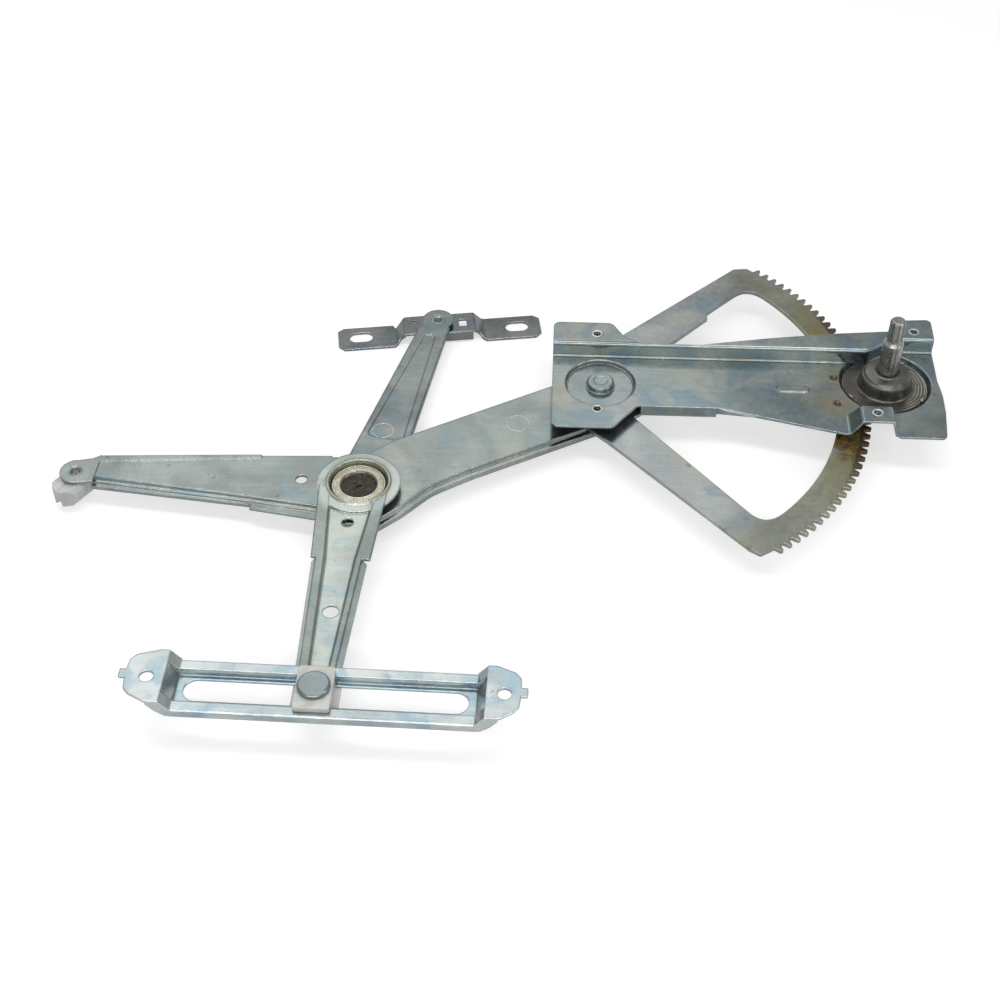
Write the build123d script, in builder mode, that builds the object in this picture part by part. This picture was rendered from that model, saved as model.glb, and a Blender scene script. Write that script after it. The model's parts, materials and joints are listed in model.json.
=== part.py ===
from build123d import *
import os
from math import acos, cos, degrees, radians, sin, tan

# Scissor-type window regulator, hand cranked. Millimetres, +Z up.
# Origin: on the crank axis, in the plane of the mounting tabs. +X runs along the channel of
# the base plate, from the main pivot towards the crank. -Z points to the outside of the car.

os.makedirs("parts", exist_ok=True)

# ---------------------------------------------------------------- fits and clearances
running_fit = 0.06            # radial, between a pin and the hole that turns on it
face_gap = 0.3                # between two bodies that move past each other

# ---------------------------------------------------------------- gear pair
module = 2.5
sector_full_teeth = 152       # teeth the sector would have as a full wheel
pinion_teeth = 10
teeth_below = 23              # sector teeth on the lower side of the line of centres
teeth_above = 20
pressure_angle = 20.0
sector_addendum = 1.9
sector_dedendum = 3.1
sector_half_tooth = 1.65      # half tooth thickness on the pitch circle
sector_half_tip = 1.0
pinion_half_tooth = 2.0
pinion_undercut = 0.5         # how far the flank is cut back near the root
tip_clearance = 0.5

# ---------------------------------------------------------------- layout, seen from above
pivot_bearing = 182.4         # from the crank axis to the main pivot
main_arm_angle = -146.9       # main pivot to the corner of the bent main arm
main_arm_length = 193.1
glass_arm_angle = 177.0       # corner to glass shoe
glass_arm_length = 195.2
joint_offset = (-0.4, 1.9)    # centre joint, from the corner of the main arm
rail_arm_angle = -92.0        # centre joint to rail slider
rail_arm_length = 184.2
bracket_arm_angle = 78.3      # centre joint to glass bracket
bracket_arm_length = 196.5
rail_angle = -1.2
bracket_angle = 8.8

# ---------------------------------------------------------------- sheet thicknesses
plate_gauge = 1.8
sector_gauge = 3.0
arm_gauge = 2.0
rail_gauge = 1.5
bracket_gauge = 2.0

# ---------------------------------------------------------------- heights (z of top faces)
mount_top = 0.0
floor_top = -12.0
dish_depth = 3.2              # round recess under the main pivot
crank_dish_depth = 4.0
sector_top = -20.0
main_web_top = sector_top - sector_gauge
main_rim_rise = 1.2
main_step = 2.4               # web down to the outer ledge
main_flange_bottom = -30.0
lower_hub_top = main_web_top + face_gap + arm_gauge
lower_flange_bottom = main_web_top + main_rim_rise + 0.5
lower_flange_depth = 5.6
lower_rim_top = lower_flange_bottom + lower_flange_depth
lower_web_drop = 2.0
upper_top = main_flange_bottom - face_gap
upper_flange_depth = 4.5


def polar(radius, angle):
    """Point at a radius and a bearing in degrees."""
    return Vector(radius * cos(radians(angle)), radius * sin(radians(angle)))


def local_plane(point, angle, height):
    """Level plane at a point, its x axis at a bearing."""
    return Plane(
        origin=(point.X, point.Y, height),
        x_dir=(cos(radians(angle)), sin(radians(angle)), 0),
        z_dir=(0, 0, 1),
    )


def section_plane(point, angle, along):
    """Upright plane across an arm: x is to the left of the arm, y is up."""
    here = point + polar(along, angle)
    direction = (cos(radians(angle)), sin(radians(angle)), 0)
    return Plane(origin=(here.X, here.Y, 0), x_dir=(-direction[1], direction[0], 0), z_dir=direction)


def finish(builder, name):
    """Label a finished piece and write it."""
    builder.part.label = name
    export_step(builder.part, f"parts/{name}.step")


def polygon(points, radii=None):
    """Closed outline in the current sketch, with its corners rounded."""
    with BuildLine() as outline:
        if radii is None:
            Polyline(*points, close=True)
        else:
            FilletPolyline(*points, radius=radii, close=True)
    make_face(outline.edges())


# ---------------------------------------------------------------- derived places
sector_pitch_radius = module * sector_full_teeth / 2
pinion_pitch_radius = module * pinion_teeth / 2
centre_distance = sector_pitch_radius + pinion_pitch_radius
crank_axis = Vector(0, 0)
main_pivot = polar(centre_distance, pivot_bearing)
arm_corner = main_pivot + polar(main_arm_length, main_arm_angle)
centre_joint = arm_corner + Vector(*joint_offset)
glass_joint = arm_corner + polar(glass_arm_length, glass_arm_angle)
rail_joint = centre_joint + polar(rail_arm_length, rail_arm_angle)
bracket_joint = centre_joint + polar(bracket_arm_length, bracket_arm_angle)
line_of_centres = pivot_bearing - 180
tooth_step = 360 / sector_full_teeth
sector_tip_radius = sector_pitch_radius + sector_addendum
sector_root_radius = sector_pitch_radius - sector_dedendum

# ---------------------------------------------------------------- pivots
pivot_pin_radius = 7.5
pivot_head_radius = 9.5
pivot_head_height = 5.0
pivot_collar_radius = 10.6
pivot_collar_height = 1.0
pivot_tail_radius = 12.0
pivot_tail_height = 2.4
pivot_spacer_radius = 12.8
bush_radius = 11.0
bush_ring_radius = 18.5
stud_radius = 5.0


# ================================================================ base plate
plate_left = -236.6
plate_right = 38.0
plate_south = -57.2
plate_north = 58.0
web_south_face = 20.5         # south face of the upright web along the channel
web_jog = 13.5                # the web steps outwards round the crank dish
jog_start, jog_end = -12.0, 8.0
bend_radius = 1.6
dish_radius = 25.0
dish_slope = 1.6
crank_dish_radius = 32.6
crank_dish_slope = 2.8
tab_hole_core = 2.5           # core radius of an M6 thread
collar_wall = 1.7
collar_depth = 3.4
tab_hole_places = [(-205.1, 31.4), (24.1, 42.9)]
floor_hole_place = (-204.7, -36.1)
pad_hole_place = (-12.5, -45.6)
pad_left, pad_right = -23.5, -1.5
pad_front, pad_back = -55.3, -38.5
pad_left_run, pad_right_run, pad_back_run = 7.5, 4.0, 4.0
flange_left, flange_right = -174.0, -121.0
flange_line = -32.0
flange_drop = 6.6
flange_lean = 3.0
flange_runout = (-92.0, -42.0)
bead_length, bead_width, bead_height = 23.5, 7.6, 1.2
bead_place = (-66.2, -10.4)
dimple_places = [(-35.8, 3.6), (-36.0, -23.8)]
dimple_radius, dimple_depth = 2.6, 1.5

plate_outline = [
    (plate_left, -55.2),
    (-193.5, -55.2),
    (-183.6, -41.8),
    (-176.0, flange_line),
    (flange_right, flange_line),
    (-34.0, pad_front),
    (2.6, pad_front),
    (3.6, plate_south),
    (35.6, plate_south),
    (plate_right + 0.6, -30.0),
    (plate_right + 1.0, -12.6),
    (plate_right - 0.6, 3.3),
    (plate_right, 57.3),
    (18.3, 55.8),
    (15.0, 43.6),
    (-1.0, 42.0),
    (-34.0, 38.5),
    (-79.0, 31.7),
    (-129.6, web_south_face + plate_gauge),
    (-174.8, web_south_face + plate_gauge),
    (-186.0, 29.6),
    (-194.0, 43.9),
    (plate_left, 43.9),
]
plate_corner_radii = [5, 5, 3, 2, 8, 7, 0.8, 2.5, 4, 8, 8, 8, 4, 3, 3, 3, 20, 20, 2, 2, 4, 6, 5]


def channel_profile(station, web_face):
    """Floor, upright web and upper flange of the base plate, as one bent sheet."""
    inner, outer = bend_radius, bend_radius + plate_gauge
    plane = Plane(origin=(station, 0, 0), x_dir=(0, 1, 0), z_dir=(1, 0, 0))
    with BuildSketch(plane) as profile:
        with BuildLine():
            top = FilletPolyline(
                (plate_south - 2, floor_top),
                (web_face, floor_top),
                (web_face, mount_top),
                (plate_north + 2, mount_top),
                radius=[inner, outer],
            )
            under = FilletPolyline(
                (plate_south - 2, floor_top - plate_gauge),
                (web_face + plate_gauge, floor_top - plate_gauge),
                (web_face + plate_gauge, mount_top - plate_gauge),
                (plate_north + 2, mount_top - plate_gauge),
                radius=[outer, inner],
            )
            Line(top @ 0, under @ 0)
            Line(top @ 1, under @ 1)
        make_face()
    return profile.sketch


def dish_profile(outer_radius, slope, depth, bore):
    """Half section of a round recess pressed into the floor, from bore to rim."""
    low = floor_top - depth
    rim = outer_radius + 2.0
    polygon([
        (bore, low),
        (outer_radius - slope, low),
        (outer_radius, floor_top),
        (rim, floor_top),
        (rim, floor_top - plate_gauge),
        (outer_radius - 0.8, floor_top - plate_gauge),
        (outer_radius - slope - 0.8, low - plate_gauge),
        (bore, low - plate_gauge),
    ])


with BuildPart() as base_plate:
    sections = [
        channel_profile(plate_left - 2, web_south_face),
        channel_profile(jog_start, web_south_face),
        channel_profile(jog_end, web_south_face + web_jog),
        channel_profile(plate_right + 2, web_south_face + web_jog),
    ]
    loft(sections, ruled=True)
    # plan outline
    with BuildSketch(Plane.XY.offset(floor_top - 5)):
        polygon(plate_outline, plate_corner_radii)
    extrude(amount=20, mode=Mode.INTERSECT)
    # raised pad that bridges the sector rim beside the crank
    with BuildSketch(Plane.XY.offset(floor_top - plate_gauge)):
        polygon([
            (pad_left - pad_left_run, pad_front),
            (pad_right + pad_right_run, pad_front),
            (pad_right + pad_right_run, pad_back + pad_back_run),
            (pad_left - pad_left_run, pad_back + pad_back_run),
        ])
    with BuildSketch(Plane.XY.offset(mount_top)):
        polygon([
            (pad_left, pad_front),
            (pad_right, pad_front),
            (pad_right, pad_back),
            (pad_left, pad_back),
        ])
    loft(ruled=True)
    with BuildSketch(Plane.XY.offset(floor_top - plate_gauge)):
        polygon([
            (pad_left - pad_left_run + plate_gauge, pad_front - 5),
            (pad_right + pad_right_run - plate_gauge, pad_front - 5),
            (pad_right + pad_right_run - plate_gauge, pad_back + pad_back_run - plate_gauge),
            (pad_left - pad_left_run + plate_gauge, pad_back + pad_back_run - plate_gauge),
        ])
    with BuildSketch(Plane.XY.offset(mount_top - plate_gauge)):
        polygon([
            (pad_left + 0.6, pad_front - 5),
            (pad_right - 1.2, pad_front - 5),
            (pad_right - 1.2, pad_back - 1.2),
            (pad_left + 0.6, pad_back - 1.2),
        ])
    loft(ruled=True, mode=Mode.SUBTRACT)
    # recess for the main pivot and recess for the crank drive
    for place, radius, slope, depth, bore in (
        (main_pivot, dish_radius, dish_slope, dish_depth, pivot_pin_radius),
        (crank_axis, crank_dish_radius, crank_dish_slope, crank_dish_depth, 12.0),
    ):
        with BuildSketch(local_plane(place, 0, floor_top + 0.5)):
            Circle(radius + 2.0)
            with Locations((-20.0, web_south_face + 20.0 - place.Y)):
                Rectangle(60.0, 40.0, mode=Mode.SUBTRACT)
        extrude(amount=-plate_gauge - 1.0, mode=Mode.SUBTRACT)
        with BuildSketch(Plane(origin=(place.X, place.Y, 0), x_dir=(1, 0, 0), z_dir=(0, -1, 0))):
            dish_profile(radius, slope, depth, bore)
        revolve(axis=Axis((place.X, place.Y, 0), (0, 0, 1)))
    # lower edge flange, leaning outwards, and its run-out under the wing
    with BuildSketch(Plane(origin=(flange_left, 0, 0), x_dir=(0, 1, 0), z_dir=(1, 0, 0))):
        polygon([
            (flange_line + plate_gauge, floor_top - plate_gauge),
            (flange_line + plate_gauge, floor_top),
            (flange_line, floor_top - 0.4),
            (flange_line - flange_lean, floor_top - flange_drop),
            (flange_line - flange_lean + plate_gauge, floor_top - flange_drop),
        ])
    extrude(amount=flange_right - flange_left)
    with BuildSketch(Plane(origin=(flange_right, flange_line, floor_top - 0.4),
                           x_dir=(flange_runout[0] - flange_right, flange_runout[1] - flange_line, 0),
                           z_dir=(flange_runout[1] - flange_line, flange_right - flange_runout[0], 0))):
        polygon([(-1.0, 0), (28.0, 0), (0, -flange_drop + 0.8), (-1.0, -flange_drop + 0.8)])
    extrude(amount=-plate_gauge)
    # stiffening bead, hollow underneath
    with BuildSketch(Plane(origin=(*bead_place, floor_top), x_dir=(1, 0, 0), z_dir=(0, 0, 1))):
        SlotOverall(bead_length, bead_width)
    extrude(amount=bead_height, taper=35)
    with BuildSketch(Plane(origin=(*bead_place, floor_top - plate_gauge), z_dir=(0, 0, 1))):
        SlotOverall(bead_length - 2.4, bead_width - 2.4)
    extrude(amount=bead_height, taper=35, mode=Mode.SUBTRACT)
    # two dimples that face the sector rim
    for place in dimple_places:
        with BuildSketch(Plane(origin=(*place, floor_top - plate_gauge), z_dir=(0, 0, 1))):
            Circle(dimple_radius + 1.2)
        extrude(amount=-dimple_depth, taper=30)
        with BuildSketch(Plane(origin=(*place, floor_top), z_dir=(0, 0, 1))):
            Circle(dimple_radius)
        extrude(amount=-dimple_depth - 0.6, taper=35, mode=Mode.SUBTRACT)
    # pierced and drawn collars with an M6 thread
    collar_heights = [(place, mount_top) for place in tab_hole_places + [pad_hole_place]]
    collar_heights.append((floor_hole_place, floor_top))
    for place, height in collar_heights:
        with BuildSketch(Plane(origin=(*place, height - plate_gauge), z_dir=(0, 0, 1))):
            Circle(tab_hole_core + collar_wall)
        extrude(amount=-collar_depth)
        with BuildSketch(Plane(origin=(*place, height), z_dir=(0, 0, 1))):
            Circle(tab_hole_core)
        extrude(amount=-collar_depth - plate_gauge, mode=Mode.SUBTRACT)
        with BuildSketch(Plane(origin=(*place, height), z_dir=(0, 0, 1))):
            Circle(tab_hole_core + 1.0)
        extrude(amount=-1.0, taper=45, mode=Mode.SUBTRACT)
finish(base_plate, "base_plate")


# ================================================================ main pivot
dish_floor = floor_top - dish_depth
dish_under = dish_floor - plate_gauge
main_web_under = main_web_top - arm_gauge

with BuildPart() as pivot_stud:
    # headed stud: the head sits in the recess, the shank carries sector and arm
    with BuildSketch(Plane(origin=(main_pivot.X, main_pivot.Y, 0), x_dir=(1, 0, 0), z_dir=(0, -1, 0))):
        polygon([
            (0, dish_floor + pivot_head_height),
            (pivot_head_radius - 1.0, dish_floor + pivot_head_height),
            (pivot_head_radius, dish_floor + pivot_head_height - 1.0),
            (pivot_head_radius, dish_floor + pivot_collar_height),
            (pivot_collar_radius, dish_floor + pivot_collar_height),
            (pivot_collar_radius, dish_floor),
            (pivot_pin_radius, dish_floor),
            (pivot_pin_radius, main_web_under - face_gap),
            (pivot_tail_radius, main_web_under - face_gap),
            (pivot_tail_radius - 1.0, main_web_under - face_gap - pivot_tail_height),
            (0, main_web_under - face_gap - pivot_tail_height),
        ])
    revolve(axis=Axis((main_pivot.X, main_pivot.Y, 0), (0, 0, 1)))
    # shallow dimple in the head
    with BuildSketch(local_plane(main_pivot, 0, dish_floor + pivot_head_height)):
        Circle(5.0)
    extrude(amount=-0.5, taper=30, mode=Mode.SUBTRACT)
finish(pivot_stud, "pivot_stud")

with BuildPart() as pivot_spacer:
    # thick washer between the base plate and the sector
    with BuildSketch(local_plane(main_pivot, 0, sector_top + face_gap)):
        Circle(pivot_spacer_radius)
        Circle(pivot_pin_radius, mode=Mode.SUBTRACT)
    extrude(amount=dish_under - sector_top - face_gap)
finish(pivot_spacer, "pivot_spacer")


# ================================================================ toothed sector
rim_inner_radius = 168.5
sector_rivet_radius = 3.0
sector_rivet_ring = 17.8
sector_rivet_angles = [main_arm_angle, main_arm_angle + 115, main_arm_angle - 115]


def tooth_outline(index):
    """Flank points of one sector tooth, in order of rising angle about the main pivot."""
    centre = line_of_centres + index * tooth_step
    slope = (sector_half_tooth - sector_half_tip) / sector_addendum
    root_half = sector_half_tooth + slope * sector_dedendum
    points = []
    for radius, half in (
        (sector_root_radius, -root_half),
        (sector_tip_radius, -sector_half_tip),
        (sector_tip_radius, sector_half_tip),
        (sector_root_radius, root_half),
    ):
        points.append(main_pivot + polar(radius, centre + degrees(half / radius)))
    return points


def along_pivot(radius, angle):
    return main_pivot + polar(radius, angle)


with BuildPart() as sector_gear:
    # blank: two tapering spokes and the toothed rim in one outline
    rim_points = []
    for index in range(-teeth_below, teeth_above + 1):
        rim_points += tooth_outline(index)
    first_angle = line_of_centres - teeth_below * tooth_step
    last_angle = line_of_centres + teeth_above * tooth_step
    outline = [
        along_pivot(52.0, -85.0),
        along_pivot(179.2, -57.3),
        along_pivot(186.5, first_angle - 4.2),
        along_pivot(sector_root_radius, first_angle - 1.6),
        *rim_points,
        along_pivot(sector_root_radius, last_angle + 1.3),
        along_pivot(187.3, last_angle + 2.6),
        along_pivot(180.0, last_angle + 5.0),
        along_pivot(66.6, 74.5),
        along_pivot(40.0, 108.0),
        along_pivot(30.0, 180.0),
        along_pivot(36.0, 240.0),
    ]
    with BuildSketch(Plane.XY.offset(sector_top - sector_gauge)):
        polygon([(point.X, point.Y) for point in outline])
    extrude(amount=sector_gauge)
    # window between the spokes, bounded by the rim and by the hub
    with BuildSketch(Plane.XY.offset(sector_top - sector_gauge)):
        with BuildLine():
            hub_side = ThreePointArc(
                along_pivot(36.0, -48.5), along_pivot(38.0, 0.0), along_pivot(36.0, 44.8)
            )
            step_in = Polyline(hub_side @ 1, along_pivot(117.5, 46.6), along_pivot(121.5, 48.6))
            top_side = Line(step_in @ 1, along_pivot(150.0, 48.2))
            top_corner = Spline(
                top_side @ 1,
                along_pivot(163.0, 47.2),
                along_pivot(rim_inner_radius, 42.5),
                tangents=[
                    polar(1, 47.5),
                    polar(1, -47.5),
                ],
            )
            rim_arc = ThreePointArc(
                top_corner @ 1, along_pivot(rim_inner_radius, 0.0), along_pivot(rim_inner_radius, -44.0)
            )
            low_corner = Spline(
                rim_arc @ 1,
                along_pivot(163.5, -49.0),
                along_pivot(154.0, -50.0),
                tangents=[
                    polar(1, -134.0),
                    polar(1, 129.8),
                ],
            )
            Line(low_corner @ 1, hub_side @ 0)
        make_face()
    extrude(amount=sector_gauge, mode=Mode.SUBTRACT)
    # pivot hole and rivet holes
    with BuildSketch(local_plane(main_pivot, 0, sector_top)):
        Circle(pivot_pin_radius + running_fit)
    extrude(amount=-sector_gauge, mode=Mode.SUBTRACT)
    for angle in sector_rivet_angles:
        with BuildSketch(local_plane(main_pivot + polar(sector_rivet_ring, angle), 0, sector_top)):
            Circle(sector_rivet_radius)
        extrude(amount=-sector_gauge, mode=Mode.SUBTRACT)
finish(sector_gear, "sector_gear")

with BuildPart() as sector_rivets:
    # low heads, so that they pass under the recess of the base plate
    for angle in sector_rivet_angles:
        place = main_pivot + polar(sector_rivet_ring, angle)
        with BuildSketch(Plane(origin=(place.X, place.Y, 0), x_dir=(1, 0, 0), z_dir=(0, -1, 0))):
            polygon([
                (0, sector_top + 1.3),
                (3.4, sector_top + 1.3),
                (4.3, sector_top),
                (sector_rivet_radius, sector_top),
                (sector_rivet_radius, main_web_under),
                (4.3, main_web_under),
                (3.4, main_web_under - 1.3),
                (0, main_web_under - 1.3),
            ])
        revolve(axis=Axis((place.X, place.Y, 0), (0, 0, 1)))
finish(sector_rivets, "sector_rivets")


# ================================================================ main arm
flange_wall = arm_gauge
tongue_radius = 10.9
glass_hole_radius = 4.6
small_hole_radius = 4.0
glass_flange_start = 72.0     # where the flange of the glass half begins
tongue_start = glass_arm_length - 12.2
bend_from_corner = 43.1       # where the pivot half begins to widen towards the corner


def arm_point(along, left):
    """Point of the pivot half, measured from the main pivot."""
    return main_pivot + polar(along, main_arm_angle) + polar(left, main_arm_angle + 90)


def glass_point(along, left):
    """Point of the glass half, measured from the corner of the arm."""
    return arm_corner + polar(along, glass_arm_angle) + polar(left, glass_arm_angle + 90)


def corners(points):
    return [(point.X, point.Y) for point in points]


pivot_half_outline = [
    arm_point(-28, -15), arm_point(-12, -25), arm_point(main_arm_length - bend_from_corner, -34.5),
    glass_point(4, -35), glass_point(40, -31.5), glass_point(40, 22.8), glass_point(22, 25.0),
    centre_joint + polar(39.5, -112), centre_joint + polar(38.0, -72),
    arm_point(main_arm_length - 15.1, 31.0), arm_point(main_arm_length - bend_from_corner, 23.4),
    arm_point(main_arm_length - bend_from_corner - 30, 23.4),
    arm_point(0, 31.5), arm_point(-26, 20),
]
pivot_half_web = [
    arm_point(-26, -14), arm_point(-11, -23.6), arm_point(main_arm_length - bend_from_corner, -33.1),
    glass_point(4, -33.8), glass_point(40, -30.3), glass_point(40, 17.0), glass_point(24, 21.0),
    centre_joint + polar(35.5, -112), centre_joint + polar(34.5, -72),
    arm_point(main_arm_length - 15.1, 27.6), arm_point(main_arm_length - bend_from_corner, 19.8),
    arm_point(main_arm_length - bend_from_corner - 30, 19.8),
    arm_point(0, 28.0), arm_point(-24, 17),
]
pivot_half_radii = [12, 14, 26, 10, 1, 1, 12, 14, 20, 30, 40, 60, 14, 12]
glass_half_start = 24.0


def glass_half_section(along, north, web_north, crease, south, flanged):
    """Bent section of the glass half: raised rim, web, two steps, ledge or flange."""
    rim_top = main_web_top + (main_rim_rise if flanged else 0)
    ledge_top = main_web_top - 4.2
    half_step = main_web_top - main_step
    bottom = main_flange_bottom if flanged else ledge_top - arm_gauge
    north_bottom = main_flange_bottom if flanged else main_web_top - arm_gauge - 1.0
    with BuildSketch(section_plane(arm_corner, glass_arm_angle, along)) as profile:
        polygon([
            (north, north_bottom),
            (north, rim_top - 0.8),
            (north + 0.8, rim_top),
            (web_north, rim_top),
            (web_north + 0.7, main_web_top),
            (crease - 0.8, main_web_top),
            (crease, main_web_top - 0.4),
            (crease + 0.9, half_step),
            (crease + 2.2, half_step - 0.1),
            (crease + 2.9, ledge_top + 0.1),
            (south - 0.6, ledge_top),
            (south, ledge_top - 0.6),
            (south, bottom),
            (south - arm_gauge, bottom),
            (south - arm_gauge - 0.1, ledge_top - arm_gauge + 0.1),
            (crease + 1.2, ledge_top - arm_gauge),
            (crease - 1.2, main_web_top - arm_gauge),
            (web_north + 0.4, main_web_top - arm_gauge),
            (web_north - 0.8, rim_top - arm_gauge),
            (north + arm_gauge, rim_top - arm_gauge),
            (north + arm_gauge, north_bottom),
        ])
    return profile.sketch


with BuildPart() as main_arm:
    # pivot half and centre: a shallow pan with a ledge on the outside of the bend
    with BuildSketch(Plane.XY.offset(main_flange_bottom)):
        polygon(corners(pivot_half_outline), pivot_half_radii)
    extrude(amount=main_web_top - main_step - main_flange_bottom)
    with BuildSketch(Plane.XY.offset(main_web_top - main_step)):
        polygon(corners(pivot_half_web), pivot_half_radii)
    extrude(amount=main_step, taper=20)
    with BuildSketch(Plane.XY.offset(main_flange_bottom)):
        polygon(corners(pivot_half_outline), pivot_half_radii)
        offset(amount=-flange_wall, mode=Mode.REPLACE)
    extrude(amount=main_web_top - main_step - arm_gauge - main_flange_bottom, mode=Mode.SUBTRACT)
    with BuildSketch(Plane.XY.offset(main_web_top - main_step - arm_gauge)):
        polygon(corners(pivot_half_web), pivot_half_radii)
        offset(amount=-flange_wall, mode=Mode.REPLACE)
    extrude(amount=main_step, taper=20, mode=Mode.SUBTRACT)
    # stretch without a flange, where the edge runs out beside the centre joint
    with BuildSketch(local_plane(arm_corner, glass_arm_angle, main_flange_bottom)):
        with Locations((glass_half_start + 20, 0)):
            Rectangle(40, 90)
    extrude(amount=main_web_top - main_flange_bottom, mode=Mode.SUBTRACT)
    near = glass_half_section(glass_half_start - 0.1, -33.0, -29.4, 16.6, 24.6, False)
    far = glass_half_section(glass_flange_start, -28.6, -25.0, 11.6, 19.0, False)
    loft([near, far], ruled=True)
    # flanged stretch towards the glass shoe
    near = glass_half_section(glass_flange_start, -28.6, -25.0, 11.6, 15.6, True)
    far = glass_half_section(tongue_start, -17.2, -11.4, 2.6, 8.2, True)
    loft([near, far], ruled=True)
    # tongue
    tongue_top = main_web_top + main_rim_rise
    with BuildSketch(Plane.XY.offset(tongue_top - arm_gauge)):
        polygon(corners([
            glass_point(tongue_start - 1.5, -17.2), glass_point(tongue_start + 3.5, -13.5),
            glass_point(glass_arm_length, -tongue_radius), glass_point(glass_arm_length, tongue_radius),
            glass_point(tongue_start + 3.5, 9.5), glass_point(tongue_start - 1.5, 8.2),
        ]))
        with Locations((glass_joint.X, glass_joint.Y)):
            Circle(tongue_radius)
    extrude(amount=arm_gauge)
    # holes
    for place, radius in (
        (main_pivot, pivot_pin_radius + running_fit),
        (centre_joint, bush_radius + running_fit),
        (glass_joint, glass_hole_radius),
        (glass_point(41, -7.7), small_hole_radius),
    ):
        with BuildSketch(local_plane(place, 0, main_web_top + 5)):
            Circle(radius)
        extrude(amount=-20, mode=Mode.SUBTRACT)
    for angle in sector_rivet_angles:
        with BuildSketch(local_plane(main_pivot + polar(sector_rivet_ring, angle), 0, main_web_top)):
            Circle(sector_rivet_radius)
        extrude(amount=-arm_gauge, mode=Mode.SUBTRACT)
finish(main_arm, "main_arm")


# ================================================================ cross arm, rail half
lower_web_top = lower_rim_top - lower_web_drop
lower_hub_radius = 28.2
lower_ledge_top = lower_rim_top - 0.5
lower_bead_radius = 21.1      # crest of the ring pressed round the centre joint
lower_end_radius = 12.0
lower_notch = 70.0            # where the turned-down edges begin
lower_flange_end = rail_arm_length - 21.2
lower_window_place = rail_arm_length - 70.4


def lower_section(along, outer_left, inner_left, web_left, web_right, inner_right, outer_right, drop):
    """Section of the rail half: low web, raised rims, edges turned down by drop."""
    low_left, low_right = outer_left - 0.55 * drop, outer_right + 0.55 * drop
    rim, web, gauge = lower_rim_top, lower_web_top, arm_gauge
    bottom = rim - max(drop, gauge)
    with BuildSketch(section_plane(centre_joint, rail_arm_angle, along)) as profile:
        polygon([
            (low_left, bottom),
            (outer_left, rim - 0.4),
            (outer_left + 0.5, rim),
            (inner_left, rim),
            (web_left, web),
            (web_right, web),
            (inner_right, rim),
            (outer_right - 0.5, rim),
            (outer_right, rim - 0.4),
            (low_right, bottom),
            (low_right - 1.6, bottom),
            (outer_right - 1.9, rim - gauge),
            (inner_right + 0.9, rim - gauge),
            (web_right + 0.9, web - gauge),
            (web_left - 0.9, web - gauge),
            (inner_left - 0.9, rim - gauge),
            (outer_left + 1.9, rim - gauge),
            (low_left + 1.6, bottom),
        ])
    return profile.sketch


def lower_step_section(along):
    """Flat section of the hub with as many corners as the arm section it runs into."""
    top, under = lower_ledge_top, lower_ledge_top - arm_gauge
    with BuildSketch(section_plane(centre_joint, rail_arm_angle, along)) as profile:
        polygon([
            (-26.6, under), (-26.6, top - 0.4), (-26.1, top), (-18.6, top), (-17.4, top - 0.01),
            (12.2, top - 0.01), (13.8, top), (22.4, top), (22.9, top - 0.4), (22.9, under),
            (21.3, under), (21.0, under), (14.7, under), (13.1, under + 0.01), (-18.3, under + 0.01),
            (-19.5, under), (-24.7, under), (-25.0, under),
        ])
    return profile.sketch


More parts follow.
